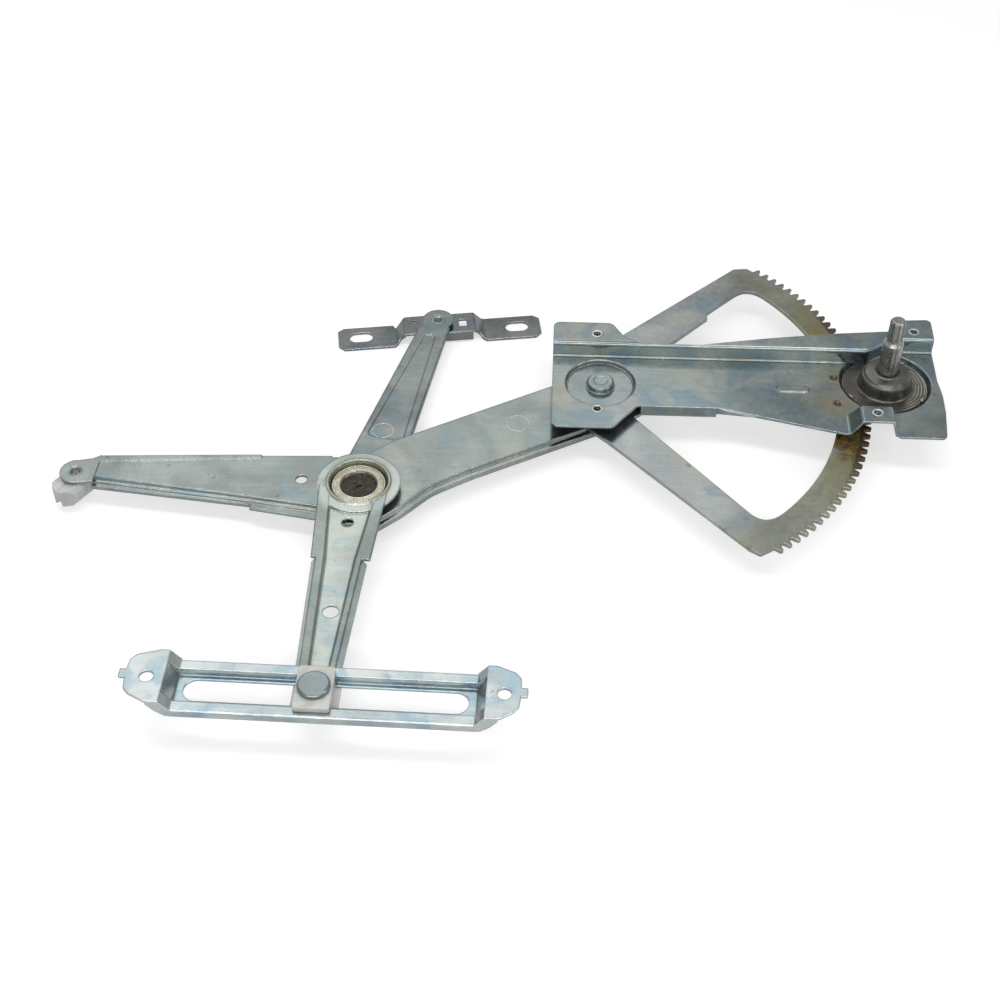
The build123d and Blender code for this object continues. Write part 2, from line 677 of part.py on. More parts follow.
with BuildPart() as cross_arm_lower:
    # plain-edged stretch beside the centre joint
    near = lower_section(7, -25.8, -18.6, -17.4, 12.2, 13.8, 20.6, 0)
    far = lower_section(lower_notch, -21.3, -13.0, -11.0, 6.4, 8.2, 17.3, 0)
    loft([near, far], ruled=True)
    # sloping step from the hub up to this stretch
    loft([lower_step_section(0.0), lower_section(7, -25.8, -18.6, -17.4, 12.2, 13.8, 20.6, 0)], ruled=True)
    # stretch with turned-down edges
    near = lower_section(lower_notch, -18.2, -13.0, -11.0, 6.4, 8.2, 12.0, lower_flange_depth)
    far = lower_section(lower_flange_end, -13.8, -8.4, -7.0, 3.2, 4.8, 8.2, lower_flange_depth)
    loft([near, far], ruled=True)
    # round end that carries the stud
    with BuildSketch(local_plane(centre_joint, rail_arm_angle, lower_web_top - arm_gauge)):
        polygon([
            (lower_flange_end - 5, -13.0), (rail_arm_length, -lower_end_radius),
            (rail_arm_length, lower_end_radius), (lower_flange_end - 5, 8.5),
        ])
        with Locations((rail_arm_length, 0)):
            Circle(lower_end_radius)
    extrude(amount=arm_gauge)
    # hub: level with the web, a raised ring, and a recess that rests on the main arm
    with BuildSketch(local_plane(centre_joint, 0, lower_hub_top - arm_gauge)):
        Circle(lower_bead_radius + 0.7)
    extrude(amount=10, mode=Mode.SUBTRACT)
    with BuildSketch(Plane(origin=(centre_joint.X, centre_joint.Y, 0), x_dir=(1, 0, 0), z_dir=(0, -1, 0))):
        polygon([
            (bush_radius, lower_hub_top),
            (lower_bead_radius - 2.2, lower_hub_top),
            (lower_bead_radius - 1.2, lower_rim_top + 0.5),
            (lower_bead_radius - 0.5, lower_rim_top + 1.0),
            (lower_bead_radius + 0.3, lower_rim_top + 0.9),
            (lower_bead_radius + 0.9, lower_rim_top - 0.2),
            (lower_bead_radius + 1.9, lower_ledge_top),
            (lower_hub_radius, lower_ledge_top),
            (lower_hub_radius, lower_ledge_top - arm_gauge),
            (lower_bead_radius + 0.8, lower_ledge_top - arm_gauge),
            (lower_bead_radius - 0.2, lower_hub_top - arm_gauge),
            (bush_radius, lower_hub_top - arm_gauge),
        ])
    revolve(axis=Axis((centre_joint.X, centre_joint.Y, 0), (0, 0, 1)))
    with BuildSketch(local_plane(centre_joint, 0, lower_hub_top + 1)):
        Circle(bush_radius)
    extrude(amount=-12, mode=Mode.SUBTRACT)
    for along, left, radius in ((36.5, -2.3, small_hole_radius), (lower_window_place, -1.8, 5.2)):
        with BuildSketch(local_plane(centre_joint, rail_arm_angle, lower_rim_top)):
            with Locations((along, left)):
                Circle(radius)
        extrude(amount=-8, mode=Mode.SUBTRACT)
    with BuildSketch(local_plane(rail_joint, 0, lower_rim_top)):
        Circle(stud_radius)
    extrude(amount=-8, mode=Mode.SUBTRACT)
finish(cross_arm_lower, "cross_arm_lower")


# ================================================================ cross arm, glass half
upper_hub_radius = 25.5
upper_hub_top = main_web_top - arm_gauge - face_gap
upper_end_radius = 11.6
upper_joggle_start, upper_joggle_end = 18.0, 26.0
upper_joggle_half = 15.0
panel_depth = 0.8
panel_start, panel_end = 60.0, bracket_arm_length - 18.5


def upper_section(along, left, right, drop):
    """Section of the glass half: flat top and two turned-down edges."""
    gauge = arm_gauge
    with BuildSketch(section_plane(centre_joint, bracket_arm_angle, along)) as profile:
        polygon([
            (right, upper_top - drop),
            (right, upper_top - 1.2),
            (right + 1.2, upper_top),
            (left - 1.2, upper_top),
            (left, upper_top - 1.2),
            (left, upper_top - drop),
            (left - gauge, upper_top - drop),
            (left - gauge, upper_top - gauge),
            (right + gauge, upper_top - gauge),
            (right + gauge, upper_top - drop),
        ])
    return profile.sketch


with BuildPart() as cross_arm_upper:
    near = upper_section(upper_joggle_end - 0.1, 21.0, -19.0, upper_flange_depth)
    far = upper_section(bracket_arm_length - 6, 11.6, -11.0, upper_flange_depth - 1.2)
    loft([near, far], ruled=True)
    # round end over the bracket
    with BuildSketch(local_plane(bracket_joint, 0, upper_top - arm_gauge)):
        Circle(upper_end_radius)
    extrude(amount=arm_gauge)
    # hub under the main arm, joggled down to the arm
    with BuildSketch(local_plane(centre_joint, 0, upper_hub_top - arm_gauge)):
        Circle(upper_hub_radius)
    extrude(amount=arm_gauge)
    for near, far, half, near_top, far_top in (
        (8, upper_joggle_start, upper_joggle_half, upper_hub_top, upper_hub_top),
        (upper_joggle_start, upper_joggle_end, upper_joggle_half, upper_hub_top, upper_top),
    ):
        with BuildSketch(section_plane(centre_joint, bracket_arm_angle, near)):
            with Locations((0, near_top - arm_gauge / 2)):
                Rectangle(2 * half, arm_gauge)
        with BuildSketch(section_plane(centre_joint, bracket_arm_angle, far)):
            with Locations((0, far_top - arm_gauge / 2)):
                Rectangle(2 * half + (0 if far_top == near_top else 4), arm_gauge)
        loft(ruled=True)
    # long shallow panel
    with BuildSketch(local_plane(centre_joint, bracket_arm_angle, upper_top)):
        polygon([(panel_start, -12.5), (panel_end, -3.6), (panel_end, 4.6), (panel_start, 14.5)], [4, 4, 4, 4])
    extrude(amount=-panel_depth, taper=30, mode=Mode.SUBTRACT)
    with BuildSketch(local_plane(centre_joint, 0, upper_hub_top + 1)):
        Circle(bush_radius)
    extrude(amount=-6, mode=Mode.SUBTRACT)
    with BuildSketch(local_plane(bracket_joint, 0, upper_top + 1)):
        Circle(stud_radius)
    extrude(amount=-6, mode=Mode.SUBTRACT)
finish(cross_arm_upper, "cross_arm_upper")


# ================================================================ centre joint
bush_ring_height = 3.0
bush_well_radius = 12.4
bush_well_depth = 2.6
upper_hub_under = upper_hub_top - arm_gauge
bush_top = lower_hub_top + bush_ring_height

with BuildPart() as centre_bush:
    # hollow rivet: ring on top, barrel through both halves and the main arm, closed underneath
    with BuildSketch(Plane(origin=(centre_joint.X, centre_joint.Y, 0), x_dir=(1, 0, 0), z_dir=(0, -1, 0))):
        polygon([
            (0, bush_top - bush_well_depth - 1.2),
            (2.6, bush_top - bush_well_depth - 1.2),
            (3.2, bush_top - bush_well_depth),
            (bush_well_radius - 1.2, bush_top - bush_well_depth),
            (bush_well_radius, bush_top - 0.8),
            (bush_well_radius + 1.4, bush_top),
            (bush_ring_radius - 1.6, bush_top - 0.1),
            (bush_ring_radius, bush_top - 1.2),
            (bush_ring_radius, lower_hub_top),
            (bush_radius, lower_hub_top),
            (bush_radius, upper_hub_under),
            (bush_radius + 3.4, upper_hub_under),
            (bush_radius + 2.4, upper_hub_under - 2.0),
            (0, upper_hub_under - 2.0),
        ])
    revolve(axis=Axis((centre_joint.X, centre_joint.Y, 0), (0, 0, 1)))
finish(centre_bush, "centre_bush")


# ================================================================ guide rail
rail_flange_depth = 5.5
rail_ledge_drop = 4.6
rail_over_bush = 3.7          # the rail passes over the centre joint when the arms fold
rail_rib_top = bush_top + rail_over_bush + rail_ledge_drop + rail_gauge
rail_outer_half = 19.5
rail_rib_half = 11.6          # inner side of a rib, from the centre line
rail_slot_half = 8.0
rail_body_left, rail_body_right = -82.4, 95.4
rail_wall_run = 6.2           # the end walls slope up to the tabs
rail_slot_left, rail_slot_right = -78.6, 91.0
rail_tab_left, rail_tab_right = -111.0, 121.6
rail_hole_left, rail_hole_right = -98.6, 112.0
rail_hole_radius = 4.2
rail_hole_south = 1.0
rail_flange_beyond = 7.5      # the flanges run on under the tabs
nib_centre, nib_half = 0.6, 3.2
rail_tab_top = mount_top
rail_ledge_top = rail_rib_top - rail_ledge_drop


def rail_section(along, slot_half):
    """Section of the rail: two flanged ribs with a low ledge between them."""
    rib, ledge, gauge = rail_rib_top, rail_ledge_top, rail_gauge
    with BuildSketch(section_plane(rail_joint, rail_angle, along)) as profile:
        for side in (1, -1):
            polygon([
                (side * rail_outer_half, rib - rail_flange_depth),
                (side * rail_outer_half, rib - 1.2),
                (side * (rail_outer_half - 1.2), rib),
                (side * (rail_rib_half + 0.4), rib),
                (side * (rail_rib_half - 0.4), ledge),
                (side * slot_half, ledge),
                (side * slot_half, ledge - gauge),
                (side * (rail_rib_half + 0.6), ledge - gauge),
                (side * (rail_rib_half + 1.2), rib - gauge),
                (side * (rail_outer_half - gauge), rib - gauge),
                (side * (rail_outer_half - gauge), rib - rail_flange_depth),
            ])
    return profile.sketch


with BuildPart() as guide_rail:
    # solid section, the slot is cut afterwards
    loft([rail_section(rail_body_left, 0), rail_section(rail_body_right, 0)], ruled=True)
    with BuildSketch(local_plane(rail_joint, rail_angle, rail_ledge_top + 1)):
        with Locations(((rail_slot_left + rail_slot_right) / 2, 0)):
            SlotOverall(rail_slot_right - rail_slot_left, 2 * rail_slot_half)
    extrude(amount=-rail_gauge - 2, mode=Mode.SUBTRACT)
    # ends: a sloping wall up to a flat tab with a hole and a locating nib
    for end, tab_end, hole in (
        (rail_body_left, rail_tab_left, rail_hole_left),
        (rail_body_right, rail_tab_right, rail_hole_right),
    ):
        side = 1 if tab_end > end else -1
        wall_top = end + side * rail_wall_run
        flange_end = wall_top + side * rail_flange_beyond
        for left, right, foot_top in (
            (rail_outer_half, -rail_outer_half, rail_ledge_top),
            (rail_outer_half, rail_rib_half - 0.4, rail_rib_top),
            (-rail_rib_half + 0.4, -rail_outer_half, rail_rib_top),
        ):
            with BuildSketch(section_plane(rail_joint, rail_angle, end - side * 0.01)):
                polygon([
                    (left, rail_ledge_top - rail_gauge), (left, foot_top),
                    (right, foot_top), (right, rail_ledge_top - rail_gauge),
                ])
            with BuildSketch(section_plane(rail_joint, rail_angle, wall_top)):
                polygon([
                    (left, rail_tab_top - rail_gauge), (left, rail_tab_top),
                    (right, rail_tab_top), (right, rail_tab_top - rail_gauge),
                ])
            loft(ruled=True)
        # flanges that follow the wall and run out under the tab
        side_plane = Plane(
            origin=(rail_joint.X, rail_joint.Y, 0),
            x_dir=(cos(radians(rail_angle)), sin(radians(rail_angle)), 0),
            z_dir=(sin(radians(rail_angle)), -cos(radians(rail_angle)), 0),
        )
        for distance in (-rail_outer_half, rail_outer_half - rail_gauge):
            with BuildSketch(side_plane.offset(distance)):
                polygon([
                    (end - side * 1.0, rail_rib_top - rail_flange_depth),
                    (end - side * 1.0, rail_rib_top - 1.2),
                    (end, rail_rib_top - 1.2),
                    (wall_top, rail_tab_top - rail_gauge / 2),
                    (flange_end, rail_tab_top - rail_gauge / 2),
                    (flange_end, rail_tab_top - rail_gauge - 1.5),
                    (end + side * 9.0, rail_rib_top - 1.0),
                    (end + side * 3.5, rail_rib_top - rail_flange_depth + 0.4),
                ])
            extrude(amount=rail_gauge)
        with BuildSketch(local_plane(rail_joint, rail_angle, rail_tab_top - rail_gauge)):
            polygon([
                (wall_top - side * 0.4, rail_outer_half),
                (wall_top + side * 5.0, rail_outer_half),
                (tab_end - side * 3.5, rail_outer_half - 4.5),
                (tab_end, rail_outer_half - 9.0),
                (tab_end + side * 0.3, nib_centre + nib_half),
                (tab_end + side * 4.2, nib_centre + nib_half),
                (tab_end + side * 4.2, nib_centre - nib_half),
                (tab_end + side * 0.3, nib_centre - nib_half),
                (tab_end - side * 0.5, -rail_outer_half + 9.0),
                (tab_end - side * 3.5, -rail_outer_half + 5.5),
                (wall_top + side * 8.0, -rail_outer_half),
                (wall_top - side * 0.4, -rail_outer_half),
            ], [0.3, 2, 4, 2.5, 0.6, 0.6, 0.6, 0.6, 2, 2, 4, 0.3])
        extrude(amount=rail_gauge)
        with BuildSketch(local_plane(rail_joint, rail_angle, rail_tab_top)):
            with Locations((hole, -rail_hole_south)):
                Circle(rail_hole_radius)
        extrude(amount=-rail_gauge, mode=Mode.SUBTRACT)
finish(guide_rail, "guide_rail")


# ================================================================ rail slider
slider_length, slider_foot_length = 22.0, 28.5
slider_cap_half = 15.8
slider_cap_height = 3.8
slider_neck_half = rail_slot_half - face_gap
slider_foot_half = 11.0
slider_cap_top = rail_rib_top + face_gap + slider_cap_height
slider_foot_bottom = lower_web_top + face_gap

with BuildPart() as rail_slider:
    # moulded block: cap over the ribs, body between them, neck in the slot, foot underneath
    for length, half, low, high in (
        (slider_length, slider_cap_half, rail_rib_top + face_gap, slider_cap_top),
        (slider_length, rail_rib_half - 0.4 - face_gap, rail_ledge_top + face_gap, rail_rib_top + face_gap),
        (slider_length, slider_neck_half, rail_ledge_top - rail_gauge - face_gap, rail_ledge_top + face_gap),
        (slider_foot_length, slider_foot_half, slider_foot_bottom, rail_ledge_top - rail_gauge - face_gap),
    ):
        with BuildSketch(local_plane(rail_joint, rail_angle, low)):
            RectangleRounded(length, 2 * half, 2.0)
        extrude(amount=high - low)
    with BuildSketch(local_plane(rail_joint, 0, slider_cap_top)):
        Circle(stud_radius + running_fit)
    extrude(amount=slider_foot_bottom - slider_cap_top, mode=Mode.SUBTRACT)
finish(rail_slider, "rail_slider")

head_radius, head_height = 10.0, 3.2
lower_end_under = lower_web_top - arm_gauge

with BuildPart() as rail_stud:
    # shoulder stud riveted to the arm, with a flat head over the slider
    with BuildSketch(Plane(origin=(rail_joint.X, rail_joint.Y, 0), x_dir=(1, 0, 0), z_dir=(0, -1, 0))):
        polygon([
            (0, slider_cap_top + face_gap + head_height),
            (head_radius - 1.2, slider_cap_top + face_gap + head_height),
            (head_radius, slider_cap_top + face_gap + head_height - 1.0),
            (head_radius, slider_cap_top + face_gap),
            (stud_radius, slider_cap_top + face_gap),
            (stud_radius, lower_end_under),
            (stud_radius + 3.0, lower_end_under),
            (stud_radius + 2.2, lower_end_under - 1.4),
            (0, lower_end_under - 1.4),
        ])
    revolve(axis=Axis((rail_joint.X, rail_joint.Y, 0), (0, 0, 1)))
finish(rail_stud, "rail_stud")


# ================================================================ glass bracket
bracket_mid_top = upper_top - upper_flange_depth - face_gap
bracket_drop = 8.0
bracket_half = 12.6
bracket_mid_left, bracket_mid_right = -26.0, 28.0
bracket_left, bracket_right = -76.5, 78.6
bracket_joggle = 6.5
bracket_slot_places = [-59.0, 60.4]
bracket_slot_length, bracket_slot_width = 17.6, 10.6
bracket_lip_left, bracket_lip_right = -10.0, 26.0
bracket_lip_drop = 8.5
bracket_pin_radius = 5.0

with BuildPart() as glass_bracket:
    # raised middle, sloping joggles, low ends: one profile along the strip
    low = bracket_mid_top - bracket_drop
    with BuildSketch(Plane(
        origin=(bracket_joint.X, bracket_joint.Y, 0),
        x_dir=(cos(radians(bracket_angle)), sin(radians(bracket_angle)), 0),
        z_dir=(sin(radians(bracket_angle)), -cos(radians(bracket_angle)), 0),
    )):
        polygon([
            (bracket_left, low), (bracket_mid_left - bracket_joggle, low),
            (bracket_mid_left, bracket_mid_top), (bracket_mid_right, bracket_mid_top),
            (bracket_mid_right + bracket_joggle, low), (bracket_right, low),
            (bracket_right, low - bracket_gauge), (bracket_mid_right + bracket_joggle - 1.2, low - bracket_gauge),
            (bracket_mid_right - 1.2, bracket_mid_top - bracket_gauge),
            (bracket_mid_left + 1.2, bracket_mid_top - bracket_gauge),
            (bracket_mid_left - bracket_joggle + 1.2, low - bracket_gauge), (bracket_left, low - bracket_gauge),
        ])
    extrude(amount=bracket_half, both=True)
    # plan outline
    with BuildSketch(local_plane(bracket_joint, bracket_angle, low - 5)):
        polygon([
            (bracket_left, -8.0), (bracket_left + 4.5, -bracket_half), (-34, -bracket_half), (-29, -8.0),
            (-26, -9.6), (27, -9.6), (31, -8.0), (36, -bracket_half), (bracket_right - 4.5, -bracket_half),
            (bracket_right, -8.0), (bracket_right, 9.0), (bracket_right - 4.5, bracket_half),
            (34.5, bracket_half), (29, 11.4), (-24, 11.4), (-32, 8.0), (-34, bracket_half - 0.4),
            (bracket_left + 4.5, bracket_half - 0.4), (bracket_left, 9.0),
        ])
    extrude(amount=20, mode=Mode.INTERSECT)
    # lip folded down along the south edge of the middle
    with BuildSketch(local_plane(bracket_joint, bracket_angle, bracket_mid_top - bracket_gauge)):
        with Locations(((bracket_lip_left + bracket_lip_right) / 2, -9.6 - bracket_gauge / 2 + 0.6)):
            Rectangle(bracket_lip_right - bracket_lip_left, bracket_gauge)
    extrude(amount=-bracket_lip_drop + bracket_gauge)
    with BuildSketch(local_plane(bracket_joint, bracket_angle, bracket_mid_top)):
        with Locations(((bracket_lip_left + bracket_lip_right) / 2, -9.6 - bracket_gauge / 2 + 0.6)):
            Rectangle(bracket_lip_right - bracket_lip_left, bracket_gauge)
    extrude(amount=-bracket_gauge)
    # slots for the glass channel bolts, square hole, small hole and pin hole
    for place in bracket_slot_places:
        with BuildSketch(local_plane(bracket_joint, bracket_angle, low)):
            with Locations((place, 0.6)):
                SlotOverall(bracket_slot_length, bracket_slot_width)
        extrude(amount=-bracket_gauge, mode=Mode.SUBTRACT)
    with BuildSketch(local_plane(bracket_joint, bracket_angle, bracket_mid_top)):
        with Locations((18.8, 0.0)):
            RectangleRounded(5.8, 8.0, 0.8)
        with Locations((-17.7, 4.8)):
            Circle(1.3)
        with Locations((0, 0)):
            Circle(bracket_pin_radius + running_fit)
    extrude(amount=-bracket_gauge, mode=Mode.SUBTRACT)
finish(glass_bracket, "glass_bracket")

bracket_mid_under = bracket_mid_top - bracket_gauge

with BuildPart() as bracket_rivet:
    # shoulder rivet, burred over flush with the arm
    with BuildSketch(Plane(origin=(bracket_joint.X, bracket_joint.Y, 0), x_dir=(1, 0, 0), z_dir=(0, -1, 0))):
        polygon([
            (0, upper_top - 1.2),
            (2.2, upper_top - 1.0),
            (3.6, upper_top),
            (stud_radius, upper_top),
            (stud_radius, upper_top - arm_gauge),
            (stud_radius + 2.4, upper_top - arm_gauge),
            (stud_radius + 2.4, bracket_mid_top + face_gap),
            (bracket_pin_radius, bracket_mid_top + face_gap),
            (bracket_pin_radius, bracket_mid_under - face_gap),
            (bracket_pin_radius + 3.0, bracket_mid_under - face_gap),
            (bracket_pin_radius + 2.2, bracket_mid_under - face_gap - 2.0),
            (0, bracket_mid_under - face_gap - 2.0),
        ])
    revolve(axis=Axis((bracket_joint.X, bracket_joint.Y, 0), (0, 0, 1)))
finish(bracket_rivet, "bracket_rivet")


# ================================================================ glass shoe
shoe_angle = 57.0
shoe_length, shoe_width, shoe_height = 30.0, 21.5, 14.0
shoe_chamfer = 7.0
shoe_shift = -4.0             # the pin is not in the middle of the shoe
shoe_gap = 1.2
shoe_top = main_web_top + main_rim_rise - arm_gauge - shoe_gap
shoe_valley = 3.0
shoe_groove = 5.0
shoe_pin_radius = 4.2
tongue_under = main_web_top + main_rim_rise - arm_gauge

with BuildPart() as glass_stud:
    # stud with a hollow, burred upper end in the tongue and a round pin for the shoe
    with BuildSketch(Plane(origin=(glass_joint.X, glass_joint.Y, 0), x_dir=(1, 0, 0), z_dir=(0, -1, 0))):
        polygon([
            (0, tongue_top - 2.2),
            (2.4, tongue_top - 2.2),
            (3.6, tongue_top),
            (glass_hole_radius, tongue_top),
            (glass_hole_radius, tongue_under),
            (glass_hole_radius + 2.6, tongue_under),
            (glass_hole_radius + 2.6, shoe_top + face_gap),
            (shoe_pin_radius, shoe_top + face_gap),
            (shoe_pin_radius, shoe_top - shoe_height + 2.0),
            (0, shoe_top - shoe_height + 2.0),
        ])
    revolve(axis=Axis((glass_joint.X, glass_joint.Y, 0), (0, 0, 1)))
finish(glass_stud, "glass_stud")

with BuildPart() as glass_shoe:
    # moulded shoe: two lobes with a valley on top and a groove for the glass channel below
    with BuildSketch(section_plane(glass_joint, shoe_angle, shoe_shift - shoe_length / 2)):
        polygon([
            (-shoe_width / 2, shoe_top - shoe_height + 3.0),
            (-shoe_width / 2, shoe_top - 3.5),
            (-shoe_width / 2 + 3.0, shoe_top),
            (-shoe_valley / 2, shoe_top),
            (0, shoe_top - 1.6),
            (shoe_valley / 2, shoe_top),
            (shoe_width / 2 - 3.0, shoe_top),
            (shoe_width / 2, shoe_top - 3.5),
            (shoe_width / 2, shoe_top - shoe_height + 3.0),
            (shoe_width / 2 - 3.0, shoe_top - shoe_height),
            (shoe_groove / 2, shoe_top - shoe_height),
            (shoe_groove / 2, shoe_top - shoe_height + 3.5),
            (-shoe_groove / 2, shoe_top - shoe_height + 3.5),
            (-shoe_groove / 2, shoe_top - shoe_height),
            (-shoe_width / 2 + 3.0, shoe_top - shoe_height),
        ])
    extrude(amount=shoe_length)
    with BuildSketch(local_plane(glass_joint, shoe_angle, shoe_top - shoe_height)):
        with Locations((shoe_shift, 0)):
            Rectangle(shoe_length, shoe_width + 1)
    extrude(amount=shoe_height, mode=Mode.INTERSECT)
    chamfer(glass_shoe.edges().filter_by(Axis.Z).group_by(SortBy.LENGTH)[-1], length=shoe_chamfer)
    with BuildSketch(local_plane(glass_joint, 0, shoe_top)):
        Circle(shoe_pin_radius + running_fit)
    extrude(amount=-shoe_height + 1.7, mode=Mode.SUBTRACT)
finish(glass_shoe, "glass_shoe")


# ================================================================ crank drive
shaft_radius = 7.1            # exposed shank
journal_radius = 6.6          # inside the housing
shank_foot = -0.5
spline_radius = 5.4
spline_root = 4.7
spline_count = 8
shaft_top = 44.5
spline_length = 20.0
housing_bore = journal_radius + running_fit
housing_flange_radius = 29.0
housing_flange_height = 1.6
housing_cup_radius = 18.0
housing_foot_radius = 18.8
stake_angles = [-32.0, 58.0, 208.0]
stake_width = 3.4
housing_top = -1.0
dish_seat = floor_top - crank_dish_depth
pinion_top = dish_seat - plate_gauge - face_gap
pinion_bottom = sector_top - sector_gauge - 2.0
pinion_tip_radius = centre_distance - sector_root_radius - tip_clearance + 0.3
pinion_root_radius = centre_distance - sector_tip_radius - tip_clearance

with BuildPart() as brake_housing:
    # drawn cup with a flange, a stepped shoulder and a neck round the shaft
    with BuildSketch(Plane.XZ):
        polygon([
            (housing_bore, dish_seat),
            (housing_flange_radius, dish_seat),
            (housing_flange_radius, dish_seat + housing_flange_height),
            (housing_foot_radius + 0.8, dish_seat + housing_flange_height),
            (housing_foot_radius, dish_seat + housing_flange_height + 1.0),
            (housing_cup_radius, housing_top - 4.6),
            (housing_cup_radius - 0.9, housing_top - 3.4),
            (housing_cup_radius - 1.6, housing_top - 3.2),
            (housing_cup_radius - 2.6, housing_top - 1.6),
            (housing_cup_radius - 5.0, housing_top - 0.9),
            (9.6, housing_top - 0.6),
            (9.0, housing_top),
            (8.4, housing_top),
            (8.4, housing_top - 1.6),
            (housing_bore, housing_top - 1.6),
        ])
    revolve(axis=Axis.Z)
finish(brake_housing, "brake_housing")

with BuildPart() as housing_stakes:
    # three tongues of the plate's rim, hammered over the flange
    for angle in stake_angles:
        with BuildSketch(Plane(
            origin=(0, 0, 0),
            x_dir=(cos(radians(angle)), sin(radians(angle)), 0),
            z_dir=(sin(radians(angle)), -cos(radians(angle)), 0),
        )):
            polygon([
                (housing_flange_radius - 1.6, dish_seat + housing_flange_height),
                (housing_flange_radius - 1.4, dish_seat + housing_flange_height + 1.0),
                (housing_flange_radius + 0.6, dish_seat + housing_flange_height + 1.2),
                (housing_flange_radius + 0.8, dish_seat + 1.2),
                (housing_flange_radius, dish_seat + 0.6),
                (housing_flange_radius, dish_seat + housing_flange_height),
            ])
        extrude(amount=stake_width / 2, both=True)
finish(housing_stakes, "housing_stakes")

with BuildPart() as shaft_seal:
    # ring in the neck of the housing
    with BuildSketch(Plane.XY.offset(housing_top - 1.6)):
        Circle(8.4)
        Circle(housing_bore, mode=Mode.SUBTRACT)
    extrude(amount=1.1)
finish(shaft_seal, "shaft_seal")

with BuildPart() as crank_shaft:
    # plain shank, then a splined head with a tapering foot and a rounded tip
    with BuildSketch(Plane.XZ):
        polygon([
            (0, shaft_top),
            (spline_radius - 1.4, shaft_top),
            (spline_radius, shaft_top - 1.4),
            (spline_radius, shaft_top - spline_length + 2.5),
            (shaft_radius - 0.3, shaft_top - spline_length + 0.3),
            (shaft_radius, shaft_top - spline_length),
            (shaft_radius, shank_foot),
            (journal_radius, shank_foot),
            (journal_radius, pinion_bottom + 1.0),
            (journal_radius - 1.0, pinion_bottom),
            (0, pinion_bottom),
        ])
    revolve(axis=Axis.Z)
    with BuildSketch(Plane.XY.offset(shaft_top)):
        with PolarLocations(spline_radius + 0.5, spline_count):
            Rectangle(2 * (spline_radius + 0.5 - spline_root), 1.5)
    extrude(amount=-spline_length + 3.5, mode=Mode.SUBTRACT)
finish(crank_shaft, "crank_shaft")


def pinion_flank(radius):
    """Half angle of an involute pinion tooth at a radius, in degrees."""
    base = pinion_pitch_radius * cos(radians(pressure_angle))
    at_radius = acos(min(1.0, base / radius))
    at_pitch = radians(pressure_angle)
    spread = (tan(at_pitch) - at_pitch) - (tan(at_radius) - at_radius)
    return degrees(pinion_half_tooth / pinion_pitch_radius + spread)


with BuildPart() as pinion:
    base_radius = pinion_pitch_radius * cos(radians(pressure_angle))
    middle_radius = (base_radius + pinion_tip_radius) / 2
    root_half = pinion_flank(base_radius) - degrees(pinion_undercut / pinion_pitch_radius)
    with BuildSketch(Plane.XY.offset(pinion_bottom)):
        Circle(pinion_root_radius)
        for tooth in range(pinion_teeth):
            centre = pivot_bearing + (tooth + 0.5) * 360 / pinion_teeth
            with BuildLine():
                rise = Line(
                    polar(pinion_root_radius - 0.8, centre - root_half),
                    polar(base_radius, centre - pinion_flank(base_radius)),
                )
                flank = ThreePointArc(
                    rise @ 1,
                    polar(middle_radius, centre - pinion_flank(middle_radius)),
                    polar(pinion_tip_radius, centre - pinion_flank(pinion_tip_radius)),
                )
                land = Line(flank @ 1, polar(pinion_tip_radius, centre + pinion_flank(pinion_tip_radius)))
                back = ThreePointArc(
                    land @ 1,
                    polar(middle_radius, centre + pinion_flank(middle_radius)),
                    polar(base_radius, centre + pinion_flank(base_radius)),
                )
                fall = Line(back @ 1, polar(pinion_root_radius - 0.8, centre + root_half))
                Line(fall @ 1, rise @ 0)
            make_face()
    extrude(amount=pinion_top - pinion_bottom)
    with BuildSketch(Plane.XY.offset(pinion_top)):
        Circle(journal_radius)
    extrude(amount=pinion_bottom - pinion_top, mode=Mode.SUBTRACT)
finish(pinion, "pinion")
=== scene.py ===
# %% [markdown]
# # A hand-cranked window regulator
# A window regulator lifts a car door's glass. A crank turns a pinion, the pinion swings a
# toothed sector, and two crossed arms push the glass up like a scissor. The shapes come
# ready from a CAD model. This lesson gives them the looks: soft pressed edges, zinc
# plating, grease, nylon, and the small forms that a CAD model leaves out.

import json
from math import cos, pi, radians, sin

